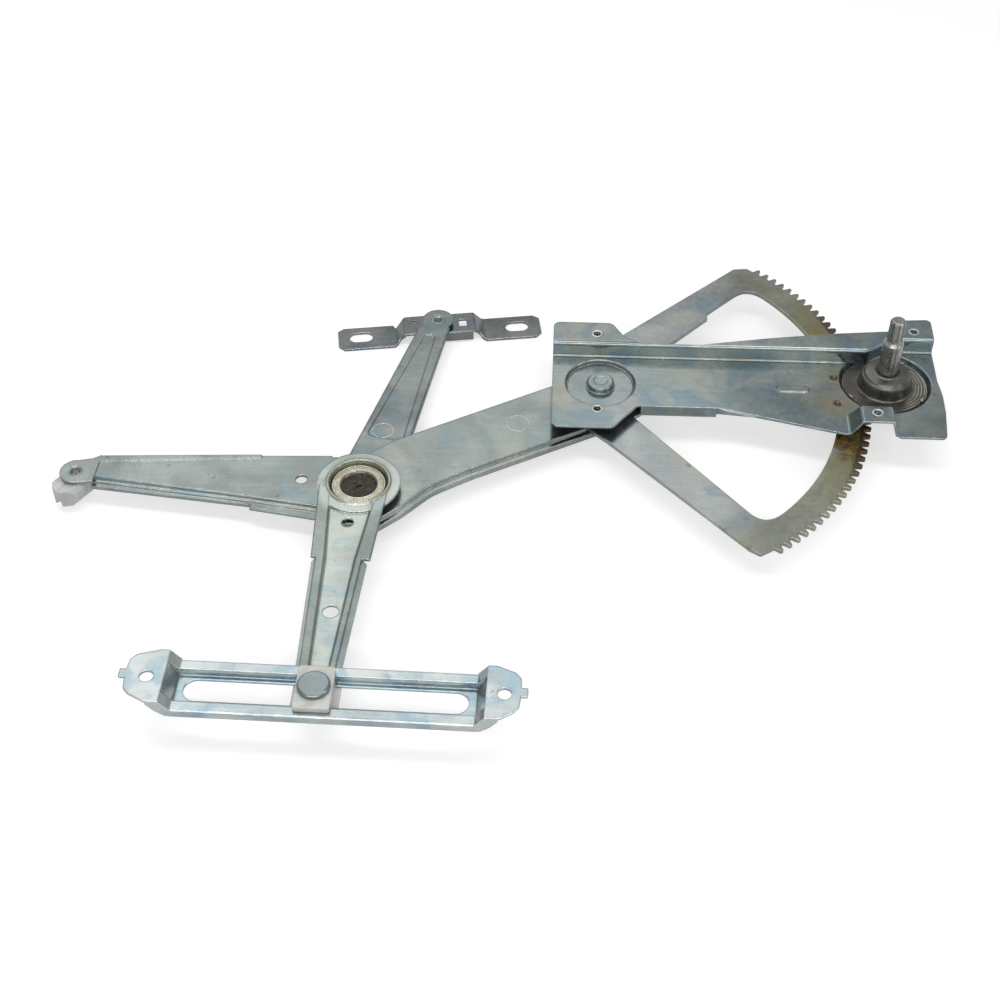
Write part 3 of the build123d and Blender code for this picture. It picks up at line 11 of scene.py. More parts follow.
import bmesh
import bpy
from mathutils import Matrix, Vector

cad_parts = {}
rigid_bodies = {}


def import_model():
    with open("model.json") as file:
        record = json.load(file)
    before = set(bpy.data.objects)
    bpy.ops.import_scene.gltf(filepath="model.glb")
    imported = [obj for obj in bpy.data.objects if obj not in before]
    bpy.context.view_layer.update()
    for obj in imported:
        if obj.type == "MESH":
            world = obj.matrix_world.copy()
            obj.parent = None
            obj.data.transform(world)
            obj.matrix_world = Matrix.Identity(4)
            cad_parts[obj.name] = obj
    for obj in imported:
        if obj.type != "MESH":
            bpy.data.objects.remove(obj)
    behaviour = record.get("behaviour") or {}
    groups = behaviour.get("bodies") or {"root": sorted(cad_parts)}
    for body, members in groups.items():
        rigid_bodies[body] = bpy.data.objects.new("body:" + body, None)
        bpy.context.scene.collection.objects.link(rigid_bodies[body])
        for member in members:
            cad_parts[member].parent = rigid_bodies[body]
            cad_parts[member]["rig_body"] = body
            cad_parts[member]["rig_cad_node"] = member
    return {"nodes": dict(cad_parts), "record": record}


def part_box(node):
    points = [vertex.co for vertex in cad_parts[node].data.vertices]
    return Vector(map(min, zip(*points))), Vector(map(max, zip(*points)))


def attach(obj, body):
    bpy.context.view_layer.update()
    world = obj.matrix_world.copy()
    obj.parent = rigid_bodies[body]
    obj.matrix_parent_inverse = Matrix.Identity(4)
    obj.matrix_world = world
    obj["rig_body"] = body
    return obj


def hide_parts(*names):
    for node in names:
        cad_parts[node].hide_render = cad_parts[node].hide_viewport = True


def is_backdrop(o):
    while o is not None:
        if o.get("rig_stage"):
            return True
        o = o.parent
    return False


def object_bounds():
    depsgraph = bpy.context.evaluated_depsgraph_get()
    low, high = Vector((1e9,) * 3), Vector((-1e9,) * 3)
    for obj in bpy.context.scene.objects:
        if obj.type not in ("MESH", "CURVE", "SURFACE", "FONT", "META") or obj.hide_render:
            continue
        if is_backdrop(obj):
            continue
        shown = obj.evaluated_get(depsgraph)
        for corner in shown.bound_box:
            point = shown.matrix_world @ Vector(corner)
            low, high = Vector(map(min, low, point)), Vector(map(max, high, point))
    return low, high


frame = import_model()
cad_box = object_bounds()
nodes = frame["nodes"]
print("size in mm", [round(1000 * side, 1) for side in cad_box[1] - cad_box[0]])

# %% [markdown]
# ## Places on the real object
# Each pivot is known from the CAD nodes themselves: a round stud's box has its axis in the
# middle. Reading the places this way keeps every new piece on what carries it.

# %% Pivots and levels
def middle(node):
    """The middle of a CAD node's box."""
    low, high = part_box(node)
    return (low + high) / 2


main_pivot = middle("pivot_stud")
centre_joint = middle("centre_bush")
rail_joint = middle("rail_stud")
bracket_joint = middle("bracket_rivet")
glass_joint = middle("glass_stud")
crank_axis = Vector((0, 0, 0))
rail_angle = radians(-1.2)      # the rail lies almost along X
for name, place in (("main pivot", main_pivot), ("centre joint", centre_joint), ("rail joint", rail_joint)):
    print(name, [round(1000 * value, 1) for value in place])

# %% [markdown]
# ## Camera
# The regulator lies flat with its crank upright. The camera stands in front and looks down
# at about 45 degrees, far enough away for a moderately long lens.

# %% Place the camera
camera_place = (-0.2372, -0.8817, 0.7463)
looked_at = Vector((-0.26905, -0.12137, -0.020))
focal_length, sensor_width = 58.3, 36
bpy.ops.object.select_all(action="DESELECT")
bpy.ops.object.camera_add(location=camera_place)
camera = bpy.context.active_object
camera.name = "bench_camera"
camera.data.lens = focal_length
camera.data.sensor_width = sensor_width
camera.data.clip_start = 0.01
aim = looked_at - camera.location
camera.rotation_euler = aim.to_track_quat("-Z", "Y").to_euler()
bpy.context.scene.camera = camera
bpy.context.scene.view_settings.view_transform = "Standard"
print("camera distance", round(aim.length, 3))

# %% [markdown]
# ## Shader maths in plain Python
# Plating, grease and wear are layers of noise. Written as nodes they are long, so three small
# classes carry the load: a Wire is one output socket that understands + - *, a NodeTree makes
# any node from its type, settings and sockets, and a Finish is the tree of a new material.

# %% Wires and finishes
class Wire:
    """An output socket that takes part in arithmetic."""

    def __init__(self, finish, socket):
        self.finish = finish
        self.socket = socket

    def __add__(self, other):
        return self.finish.maths("ADD", self, other)

    def __sub__(self, other):
        return self.finish.maths("SUBTRACT", self, other)

    def __rsub__(self, other):
        return self.finish.maths("SUBTRACT", other, self)

    def __mul__(self, other):
        return self.finish.maths("MULTIPLY", self, other)

    __radd__ = __add__
    __rmul__ = __mul__

    def most(self, other):
        """The larger of two values."""
        return self.finish.maths("MAXIMUM", self, other)


class NodeTree:
    """A node tree that is built by code."""

    def __init__(self, tree):
        self.tree = tree
        self.tree.nodes.clear()

    def node(self, kind, settings=None, sockets=None):
        """Add a node: its settings first, then values or wires for its sockets."""
        node = self.tree.nodes.new(kind)
        for key, value in (settings or {}).items():
            setattr(node, key, value)
        for key, value in (sockets or {}).items():
            if isinstance(value, Wire):
                self.tree.links.new(value.socket, node.inputs[key])
            elif isinstance(value, tuple) and node.inputs[key].type == "RGBA":
                node.inputs[key].default_value = (*value, 1)
            else:
                node.inputs[key].default_value = value
        return {output.name: Wire(self, output) for output in node.outputs} | {
            index: Wire(self, output) for index, output in enumerate(node.outputs)
        }

    def maths(self, operation, first, second):
        """One Math node."""
        return self.node("ShaderNodeMath", {"operation": operation}, {0: first, 1: second})[0]

    def place(self):
        """Object coordinates, in metres."""
        return self.node("ShaderNodeTexCoord")["Object"]

    def shifted(self, place, offset, stretch=(1, 1, 1)):
        """The place, moved and stretched, so that two noises don't coincide."""
        sockets = {"Vector": place, "Location": offset, "Scale": stretch}
        return self.node("ShaderNodeMapping", {}, sockets)["Vector"]

    def noise(self, place, scale, detail=3.0, distortion=0.0):
        """Cloudy noise, about 0.5 on average."""
        sockets = {"Vector": place, "Scale": scale, "Detail": detail, "Distortion": distortion}
        return self.node("ShaderNodeTexNoise", {}, sockets)[0]

    def step(self, value, low, high):
        """A soft step from 0 at low to 1 at high."""
        sockets = {"Value": value, "From Min": low, "From Max": high}
        return self.node("ShaderNodeMapRange", {"interpolation_type": "SMOOTHSTEP"}, sockets)[0]

    def mix(self, share, first, second, kind="MIX"):
        """Mix two colours."""
        settings = {"data_type": "RGBA", "blend_type": kind, "clamp_factor": True}
        return self.node("ShaderNodeMix", settings, {0: share, 6: first, 7: second})[2]

    def flat_distance(self, place, point):
        """Distance from an upright axis through a point."""
        flat = self.node("ShaderNodeVectorMath", {"operation": "MULTIPLY"}, {0: place, 1: (1, 1, 0)})[0]
        sockets = {0: flat, 1: (point[0], point[1], 0)}
        return self.node("ShaderNodeVectorMath", {"operation": "DISTANCE"}, sockets)["Value"]

    def parts(self, place):
        """X, Y and Z of a place."""
        return self.node("ShaderNodeSeparateXYZ", {}, {"Vector": place})

    def soft_edges(self, radius):
        """A normal that is rounded over near edges, and a mask of those edges."""
        rounded = self.node("ShaderNodeBevel", {"samples": 8}, {"Radius": radius})["Normal"]
        flat = self.node("ShaderNodeNewGeometry")["True Normal"]
        settings = {"operation": "DOT_PRODUCT"}
        alike = self.node("ShaderNodeVectorMath", settings, {0: rounded, 1: flat})["Value"]
        return rounded, self.step(1 - alike, 0.015, 0.22)

    def bump(self, strength, distance, height, **under):
        """A bumped normal. A normal given as Normal lies under the bumps."""
        sockets = {"Strength": strength, "Distance": distance, "Height": height}
        return self.node("ShaderNodeBump", {}, sockets | under)["Normal"]

    def crevice(self, reach):
        """A mask of enclosed places for painted shade: 1 deep in a corner, 0 in the open."""
        settings = {"samples": 6, "only_local": True}
        open_share = self.node("ShaderNodeAmbientOcclusion", settings, {"Distance": reach})["AO"]
        return 1 - self.step(open_share, 0.45, 0.96)


class Finish(NodeTree):
    """A material."""

    def __init__(self, name):
        self.material = bpy.data.materials.new(name)
        self.material.use_nodes = True
        super().__init__(self.material.node_tree)

    def surface(self, **sockets):
        """The principled shader and the output."""
        named = {key.replace("_", " "): value for key, value in sockets.items()}
        shader = self.node("ShaderNodeBsdfPrincipled", {}, named)["BSDF"]
        self.node("ShaderNodeOutputMaterial", {}, {"Surface": shader})
        return self.material


# %% [markdown]
# ## Zinc plating
# Blue-passivated zinc is a bright metal with a thin film that turns it slightly blue,
# green or straw in broad clouds. It is never even: there are darker handling marks and fine
# mottling from the bath. Bends and edges get a painted highlight, and corners painted shade.

# %% The zinc finish
# The pale colour is a painted highlight on bends, the near black one painted shade in corners.
painted_bend_highlight = (0.88, 0.90, 0.88)
painted_corner_shade = (0.075, 0.075, 0.068)
dark_speck = (0.10, 0.09, 0.078)
corner_shade_reach = 0.0035       # how far from a corner the painted shade reaches


def zinc(name, dark, light, blue, straw, straw_share, rough, soil_and_light=None, bend=0.0015, corner_shade=0.34):
    """Plated steel: cloudy from dark to light, with drifts of a blue and a straw film.

    soil adds grease, stains, tints or painted shade: it takes the finish, the place and a
    colour. bend is how far from an edge the normal is rounded, and crease how dark the painted
    shade in a corner gets.
    """
    finish = Finish(name)
    place = finish.place()
    clouds = finish.noise(place, 19, 4, 0.9)
    drift = finish.noise(finish.shifted(place, (3.1, 1.7, 0.4)), 38, 4, 1.4)
    film = finish.noise(finish.shifted(place, (7.3, 2.9, 5.5)), 27, 3, 0.8)
    mottling = finish.noise(place, 240, 4)
    grain = finish.noise(place, 1500, 2)
    scores = finish.noise(finish.shifted(place, (1, 2, 3), (40, 900, 900)), 1.0, 3)
    handling = finish.noise(finish.shifted(place, (6, 6, 2)), 75, 6, 2.2)
    colour = finish.mix(finish.step(clouds, 0.32, 0.68), dark, light)
    colour = finish.mix(finish.step(drift, 0.48, 0.68) * 0.72, colour, blue)
    colour = finish.mix(finish.step(film, 0.50, 0.74) * straw_share, colour, straw)
    colour = finish.mix(finish.step(handling, 0.50, 0.74) * 0.28, colour, (0.70, 0.69, 0.66), "MULTIPLY")
    shade = finish.step(mottling, 0.25, 0.78)
    colour = finish.mix(0.30, colour, finish.mix(shade, (0.66, 0.66, 0.66), (1.0, 1.0, 1.0)), "MULTIPLY")
    specks = finish.step(finish.noise(finish.shifted(place, (9, 4, 6)), 130, 5), 0.67, 0.74)
    colour = finish.mix(specks * 0.45, colour, dark_speck)
    streaks = finish.noise(finish.shifted(place, (2, 1, 3), (26, 340, 340)), 1.0, 4)
    colour = finish.mix(finish.step(streaks, 0.50, 0.74) * 0.30, colour, (1.30, 1.30, 1.28), "MULTIPLY")
    rounded, edges = finish.soft_edges(bend)
    corner = finish.crevice(corner_shade_reach)
    # Painted highlight along convex edges, and painted shade in corners.
    colour = finish.mix(edges * (1 - corner) * 0.55, colour, painted_bend_highlight)
    colour = finish.mix(corner * corner_shade, colour, painted_corner_shade)
    roughness = rough + (mottling - 0.5) * 0.20 + (clouds - 0.5) * 0.25 + (scores - 0.5) * 0.10
    metal = 0.92
    if soil_and_light is not None:
        colour, greased = soil_and_light(finish, place, colour)
        roughness = roughness + greased * 0.12
        metal = metal - greased * 0.75
    height = grain * 0.35 + mottling * 0.5 + scores * 0.25
    normal = finish.bump(0.16, 0.00006, height, Normal=rounded)
    return finish.surface(Base_Color=colour, Metallic=metal, Roughness=roughness, Normal=normal)


# %% [markdown]
# ## Grease
# The sector runs in grease. The pinion squeezes it out along the teeth, where it picks up
# dirt and turns from straw to brown. Round the centre joint it creeps out of the bush. The
# amount of soil is a soft step of the distance from an axis, broken up by noise. Two more
# masks, for the rail and its arm, darken or tint the stretches between their pressed levels:
# the arm's raised rims are drawn darker, and the rail's lower ledges get painted shade and a
# blue tint.
# Each function returns the new colour and how greasy the place is.

# %% Grease masks, and painted shade on the rail's ledges
dimples = [(-0.0358, 0.0036), (-0.0360, -0.0238)]       # pressed into the plate beside the crank
ledge_over_bush = 0.0052                                # the rail's ledges above the bush's top


def sector_soil(finish, place, colour):
    """Straw film on the rim; the teeth nearest to the pinion are dark with grease and with painted shade from
    the plate's pad.
    """
    grease_and_pad_shade, straw_film = (0.050, 0.026, 0.010), (0.23, 0.215, 0.085)
    deep_amber, pale_amber = (0.085, 0.045, 0.006), (0.27, 0.17, 0.022)
    radius = finish.flat_distance(place, main_pivot)
    from_crank = finish.flat_distance(place, crank_axis)
    ragged = finish.noise(finish.shifted(place, (2, 8, 1)), 85, 5, 1.0)
    fine = finish.noise(finish.shifted(place, (5, 3, 1)), 330, 4, 1.0)
    rim = finish.step(radius + (ragged - 0.5) * 0.03, 0.158, 0.174)
    fading = 1 - finish.step(from_crank + (ragged - 0.5) * 0.05, 0.075, 0.165)
    colour = finish.mix(rim * 0.28 + rim * fading * 0.42, colour, straw_film)
    near_crank = 1 - finish.step(from_crank + (ragged - 0.5) * 0.04, 0.058, 0.098)
    amber = finish.step(rim * near_crank * finish.step(fine, 0.28, 0.60), 0.1, 0.8)
    deep = finish.step(fine + ragged, 0.85, 1.12)
    colour = finish.mix(amber * 0.90, colour, finish.mix(deep, deep_amber, pale_amber))
    # The teeth near the pinion, under the plate's pad, get dark brown: grease and painted shade.
    teeth = finish.step(radius + (ragged - 0.5) * 0.006, 0.1830, 0.1872)
    brown = finish.step(teeth * (1 - finish.step(from_crank, 0.060, 0.125)), 0.12, 0.75)
    colour = finish.mix(brown * 0.92, colour, grease_and_pad_shade)
    return colour, (amber * 0.6).most(brown)


def plate_soil(finish, place, colour):
    """Brown grease round the two dimples beside the crank housing, fading towards the left."""
    ragged = finish.noise(finish.shifted(place, (5, 1, 7)), 130, 5, 1.2)
    stain = None
    for centre in dimples:
        radius = finish.flat_distance(place, centre)
        pit = 1 - finish.step(radius + (ragged - 0.5) * 0.005, 0.0018, 0.0048)
        halo = 1 - finish.step(radius + (ragged - 0.5) * 0.020, 0.006, 0.022)
        colour = finish.mix(halo * 0.40, colour, (0.24, 0.21, 0.11))
        colour = finish.mix(pit * 0.88, colour, (0.075, 0.038, 0.012))
        stain = pit if stain is None else stain.most(pit)
    return colour, stain * 0.8


def joint_soil(finish, place, colour):
    """Straw stain that has crept out of the centre joint."""
    radius = finish.flat_distance(place, centre_joint)
    ragged = finish.noise(finish.shifted(place, (4, 4, 2)), 160, 4, 1.0)
    halo = 1 - finish.step(radius + (ragged - 0.5) * 0.010, 0.0165, 0.0250)
    colour = finish.mix(halo * 0.48, colour, finish.mix(ragged, (0.22, 0.19, 0.07), (0.50, 0.46, 0.26)))
    return colour, halo * 0.3


def arm_rims_and_joint_stain(finish, place, colour):
    """The raised rims of the rail's arm are drawn darker than its web."""
    web_level, rim_level = -0.0172, -0.0161
    height = finish.parts(place)["Z"]
    beyond_hub = finish.step(finish.flat_distance(place, centre_joint), 0.027, 0.036)
    uneven = finish.noise(finish.shifted(place, (3, 9, 4)), 48, 4, 1.0)
    rim = finish.step(height, web_level, rim_level) * beyond_hub
    colour = finish.mix(rim * (0.60 + uneven * 0.7), colour, (0.60, 0.615, 0.605), "MULTIPLY")
    return joint_soil(finish, place, colour)


def rail_ledge_shade(finish, place, colour):
    """The two ledges beside the rail's slot lie below its ribs; they get painted shade and a blue tint."""
    parts = finish.parts(place)
    across = (parts["Y"] - rail_joint.y) + (parts["X"] - rail_joint.x) * sin(-rail_angle)
    inside = 1 - finish.step(finish.maths("ABSOLUTE", across, 0.0), 0.0108, 0.0118)
    ledge_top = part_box("centre_bush")[1].z + ledge_over_bush
    ledge = inside * (1 - finish.step(parts["Z"], ledge_top + 0.0006, ledge_top + 0.0030))
    return finish.mix(ledge * 0.9, colour, (0.78, 0.88, 0.96), "MULTIPLY"), ledge * 0


# %% Plated finishes
# Colours in order: dark and light clouds, blue film, straw film.
plate_steel = zinc(
    "plate_steel", (0.19, 0.235, 0.238), (0.32, 0.355, 0.345), (0.17, 0.24, 0.29), (0.35, 0.33, 0.25),
    straw_share=0.45, rough=0.21, soil_and_light=plate_soil, bend=0.0012,
)
sector_steel = zinc(
    "sector_steel", (0.235, 0.26, 0.26), (0.38, 0.41, 0.40), (0.22, 0.29, 0.34), (0.38, 0.37, 0.28),
    straw_share=0.4, rough=0.25, soil_and_light=sector_soil, bend=0.0010,
)
main_arm_steel = zinc(
    "main_arm_steel", (0.20, 0.23, 0.22), (0.34, 0.37, 0.35), (0.20, 0.28, 0.305), (0.36, 0.35, 0.27),
    straw_share=0.4, rough=0.23, soil_and_light=joint_soil,
)
lower_arm_steel = zinc(
    "lower_arm_steel", (0.28, 0.315, 0.30), (0.45, 0.495, 0.46), (0.29, 0.39, 0.42), (0.45, 0.44, 0.35),
    straw_share=0.45, rough=0.23, soil_and_light=arm_rims_and_joint_stain,
)
upper_arm_steel = zinc(
    "upper_arm_steel", (0.155, 0.182, 0.178), (0.275, 0.305, 0.295), (0.15, 0.23, 0.265), (0.28, 0.265, 0.20),
    straw_share=0.35, rough=0.23, bend=0.0011, corner_shade=0.16,
)
rail_steel = zinc(
    "rail_steel", (0.31, 0.375, 0.40), (0.52, 0.565, 0.56), (0.27, 0.39, 0.46), (0.53, 0.505, 0.43),
    straw_share=0.30, rough=0.18, soil_and_light=rail_ledge_shade, bend=0.0014,
)
bracket_steel = zinc(
    "bracket_steel", (0.12, 0.135, 0.133), (0.215, 0.23, 0.226), (0.115, 0.17, 0.215), (0.225, 0.195, 0.135),
    straw_share=0.4, rough=0.25,
)
stud_steel = zinc(
    "stud_steel", (0.20, 0.24, 0.245), (0.31, 0.35, 0.35), (0.19, 0.265, 0.305), (0.32, 0.31, 0.265),
    straw_share=0.3, rough=0.24, bend=0.0008,
)
# A lighter steel for small rings and lips: it paints a highlight on them.
highlight_steel = zinc(
    "highlight_steel", (0.50, 0.52, 0.49), (0.70, 0.72, 0.68), (0.48, 0.55, 0.58), (0.62, 0.56, 0.40),
    straw_share=0.5, rough=0.24, bend=0.0005,
)
print("plated finishes", len(bpy.data.materials))

# %% [markdown]
# ## Dark and bare metal
# The housing is a drawn cup, phosphated dark and oiled. The shaft is bare steel that has
# browned, with a paler splined head where the handle has rubbed. The bush is turned steel
# under a film of grease, nearly black in its well.

# %% Housing, shaft, pinion and bush
def oiled(name, dark, light, rough, metal, worn=(0.36, 0.35, 0.33), wear=0.5, soil_and_light=None, score=(1, 1, 1)):
    """Dark, oily or bare steel with worn edges. worn is their colour, score stretches the tool's marks."""
    finish = Finish(name)
    place = finish.place()
    clouds = finish.noise(place, 60, 4, 0.8)
    mottling = finish.noise(place, 420, 4)
    turned = finish.noise(finish.shifted(place, (0, 0, 0), score), 900, 2)
    colour = finish.mix(finish.step(clouds, 0.35, 0.65), dark, light)
    colour = finish.mix(finish.step(mottling, 0.55, 0.75) * 0.4, colour, (0.095, 0.088, 0.078))
    rounded, edges = finish.soft_edges(0.0007)
    colour = finish.mix(edges * wear, colour, worn)
    greased = edges * 0
    if soil_and_light is not None:
        colour, greased = soil_and_light(finish, place, colour)
    roughness = rough + (mottling - 0.5) * 0.25 + (clouds - 0.5) * 0.15
    height = turned * 0.5 + mottling * 0.5
    normal = finish.bump(0.3, 0.00008, height, Normal=rounded)
    metal = metal - greased * 0.6
    return finish.surface(Base_Color=colour, Metallic=metal, Roughness=roughness, Normal=normal)


def head_rub_and_flute_shade(finish, place, colour):
    """The splined head is worn pale above the browner shank, and its flutes get painted shade."""
    height = finish.parts(place)["Z"]
    head = finish.step(height, 0.0235, 0.0275)
    colour = finish.mix(head * 0.7, colour, (0.27, 0.275, 0.265))
    # Painted shade in the flutes between the splines.
    flute_shade = finish.crevice(0.0016) * 0.7
    return finish.mix(flute_shade, colour, (0.030, 0.028, 0.026)), head * 0


def flange_rings(finish, place, colour):
    """Turned rings on the flange, with a painted highlight and bright ring lines on its right side."""
    radius = finish.flat_distance(place, crank_axis)
    east = finish.parts(place)["X"]
    ragged = finish.noise(finish.shifted(place, (1, 5, 2)), 110, 4, 1.0)
    wave = finish.maths("SINE", radius * 2900 + ragged * 3, 0.0)
    outer = finish.step(radius, 0.0195, 0.0225)
    # The right side of the flange is painted lighter, with bright ring lines: a painted highlight.
    lit_side = outer * finish.step(east + (ragged - 0.5) * 0.014, 0.006, 0.020)
    lines = finish.step(wave, 0.45, 1.0) * lit_side * finish.step(ragged, 0.35, 0.55)
    colour = finish.mix(lit_side * 0.45, colour, (0.16, 0.15, 0.105))
    colour = finish.mix(lines * 0.80, colour, (0.60, 0.59, 0.50))
    west = outer * finish.step(ragged - east * 14, 0.60, 1.05)
    return finish.mix(west * 0.45, colour, (0.13, 0.085, 0.040)), lines * 0


def well_soil(finish, place, colour):
    """Black grease in the well of the bush, straw on its ring."""
    radius = finish.flat_distance(place, centre_joint)
    ragged = finish.noise(finish.shifted(place, (8, 8, 3)), 300, 4, 1.2)
    well = 1 - finish.step(radius + (ragged - 0.5) * 0.0024, 0.0112, 0.0134)
    colour = finish.mix(finish.step(ragged, 0.42, 0.64) * 0.62, colour, (0.27, 0.205, 0.065))
    grime = finish.mix(finish.step(ragged, 0.42, 0.62), (0.012, 0.009, 0.007), (0.070, 0.048, 0.024))
    colour = finish.mix(well * 0.95, colour, grime)
    return colour, well


housing_steel = oiled(
    "housing_steel", (0.090, 0.088, 0.084), (0.150, 0.146, 0.138), rough=0.28, metal=0.78,
    worn=(0.38, 0.37, 0.35), wear=0.55, soil_and_light=flange_rings,
)
shaft_steel = oiled(
    "shaft_steel", (0.29, 0.285, 0.27), (0.50, 0.49, 0.47), rough=0.28, metal=0.92,
    worn=(0.78, 0.77, 0.74), wear=0.6, soil_and_light=head_rub_and_flute_shade, score=(1, 1, 0.1),
)
pinion_steel = oiled("pinion_steel", (0.12, 0.10, 0.08), (0.20, 0.17, 0.13), rough=0.40, metal=0.8)
bush_steel = oiled(
    "bush_steel", (0.31, 0.305, 0.245), (0.46, 0.45, 0.375), rough=0.24, metal=0.85,
    worn=(0.62, 0.61, 0.54), wear=0.5, soil_and_light=well_soil,
)
print("with bare metal", len(bpy.data.materials))

# %% [markdown]
# ## Nylon and rubber
# The slider and the shoe are moulded in natural nylon, milky white: light enters, spreads
# and leaves again. Subsurface weight does this. The moulding is a little uneven and dusty,
# and its edges are rubbed paler. The seal in the cup's neck is black rubber, for which the
# dark metal's function serves with no metal in it.

# %% Nylon and rubber finishes
def nylon(name, clear, cloudy, dust, depth):
    """Natural nylon. depth is how far light travels in it, in metres."""
    finish = Finish(name)
    place = finish.place()
    flow = finish.noise(place, 70, 3, 1.5)
    fine = finish.noise(place, 600, 3)
    colour = finish.mix(finish.step(flow, 0.35, 0.65), clear, cloudy)
    rounded, edges = finish.soft_edges(0.0012)
    colour = finish.mix(finish.step(fine, 0.55, 0.75) * 0.25, colour, dust)
    colour = finish.mix(edges * 0.25, colour, (0.95, 0.95, 0.93))
    normal = finish.bump(0.2, 0.0001, flow * 0.6 + fine * 0.4, Normal=rounded)
    return finish.surface(
        Base_Color=colour, Roughness=0.36 + (fine - 0.5) * 0.2, Normal=normal,
        Subsurface_Weight=0.55, Subsurface_Radius=(0.9, 0.85, 0.75), Subsurface_Scale=depth,
    )


slider_nylon = nylon("slider_nylon", (0.56, 0.57, 0.53), (0.66, 0.67, 0.64), (0.42, 0.40, 0.35), depth=0.004)
shoe_nylon = nylon("shoe_nylon", (0.50, 0.52, 0.51), (0.62, 0.64, 0.63), (0.38, 0.37, 0.34), depth=0.006)
seal_rubber = oiled(
    "seal_rubber", (0.018, 0.018, 0.018), (0.035, 0.034, 0.032), rough=0.6, metal=0.0,
    worn=(0.06, 0.06, 0.06), wear=0.3,
)
print("finishes", len(bpy.data.materials))

# %% [markdown]
# ## Soft pressed edges
# Sheet metal never has a sharp corner: the press rolls it over and the plating rounds it
# further. A CAD mesh is loose triangles with exact corners. So each node is copied, its
# doubles merged, flat triangles dissolved into whole faces, and its edges bevelled. The
# copy stands for the node in pictures, while the node stays for the mechanics. Where short
# edges meet, a bevel can overshoot and tear a sheet, so a few nodes keep Blender's clamp.
# Dissolving would close a window of the rail's arm, so that node keeps its triangles. On
# three nodes edge weights round the bends more than the rims. By how much a copy grew out of
# its node's box is printed.

# %% Which node gets which finish and slot, and how round its edges are in millimetres
looks = {
    "base_plate": (plate_steel, "plate_steel", 0.35),
    "housing_stakes": (plate_steel, "plate_steel", 0.10),
    "sector_gear": (sector_steel, "sector_steel", 0.35),
    "main_arm": (main_arm_steel, "main_arm_steel", 0.20),
    "cross_arm_lower": (lower_arm_steel, "lower_arm_steel", 0.40),
    "cross_arm_upper": (upper_arm_steel, "upper_arm_steel", 0.40),
    "guide_rail": (rail_steel, "rail_steel", 0.40),
    "glass_bracket": (bracket_steel, "bracket_steel", 0.35),
    "pivot_stud": (stud_steel, "stud_steel", 0.30),
    "pivot_spacer": (stud_steel, "stud_steel", 0.25),
    "sector_rivets": (stud_steel, "stud_steel", 0.20),
    "glass_stud": (stud_steel, "stud_steel", 0.20),
    "rail_stud": (stud_steel, "stud_steel", 0.35),
    "bracket_rivet": (stud_steel, "stud_steel", 0.20),
    "centre_bush": (bush_steel, "bush_steel", 0.30),
    "brake_housing": (housing_steel, "housing_steel", 0.30),
    "crank_shaft": (shaft_steel, "shaft_steel", 0.18),
    "pinion": (pinion_steel, "pinion_steel", 0.25),
    "shaft_seal": (seal_rubber, "seal_rubber", 0.15),
    "rail_slider": (slider_nylon, "slider_nylon", 0.70),
    "glass_shoe": (shoe_nylon, "shoe_nylon", 0.40),
}
clamped = {"brake_housing", "guide_rail", "rail_slider", "cross_arm_lower"}
undissolved = {"cross_arm_lower"}
# In millimetres: the bends' radius, and about the sheet's gauge, which tells a bend from a rim.
bends = {"base_plate": (1.5, 1.8), "glass_bracket": (1.5, 1.8), "cross_arm_upper": (1.5, 2.0)}
rim_share = 0.2             # a rim's radius as a share of the bends'
merge_distance = 0.000004
flat_angle = radians(0.6)
bend_angle = radians(14)
wider_than_rim = 1.12       # a face this many gauges wide is not a rim
sharp_angle = radians(32)
smooth_angle = radians(38)
body_of = {node: body for body, members in frame["record"]["behaviour"]["bodies"].items() for node in members}


# %% Copy a node and round its edges
def deselect():
    """Leave edit mode and select nothing."""
    if bpy.context.object is not None and bpy.context.object.mode != "OBJECT":
        bpy.ops.object.mode_set(mode="OBJECT")
    bpy.ops.object.select_all(action="DESELECT")


def take(piece):
    """Make one object the selected and active one."""
    deselect()
    piece.select_set(True)
    bpy.context.view_layer.objects.active = piece


def apply_modifier(piece, kind, **settings):
    """Add a modifier, set it and apply it."""
    take(piece)
    bpy.ops.object.modifier_add(type=kind)
    modifier = piece.modifiers[-1]
    for key, value in settings.items():
        setattr(modifier, key, value)
    bpy.ops.object.modifier_apply(modifier=modifier.name)


def weigh_bends(piece, share, gauge):
    """Full bevel weight on a bend between two wide faces, a small share on the sheet's rims."""
    mesh = bmesh.new()
    mesh.from_mesh(piece.data)
    weight = mesh.edges.layers.float.new("bevel_weight_edge")
    for edge in mesh.edges:
        if len(edge.link_faces) == 2 and edge.calc_face_angle() > bend_angle:
            width = min(2 * face.calc_area() / face.calc_perimeter() for face in edge.link_faces)
            edge[weight] = 1.0 if 1000 * width > wider_than_rim * gauge else share
    mesh.to_mesh(piece.data)
    mesh.free()


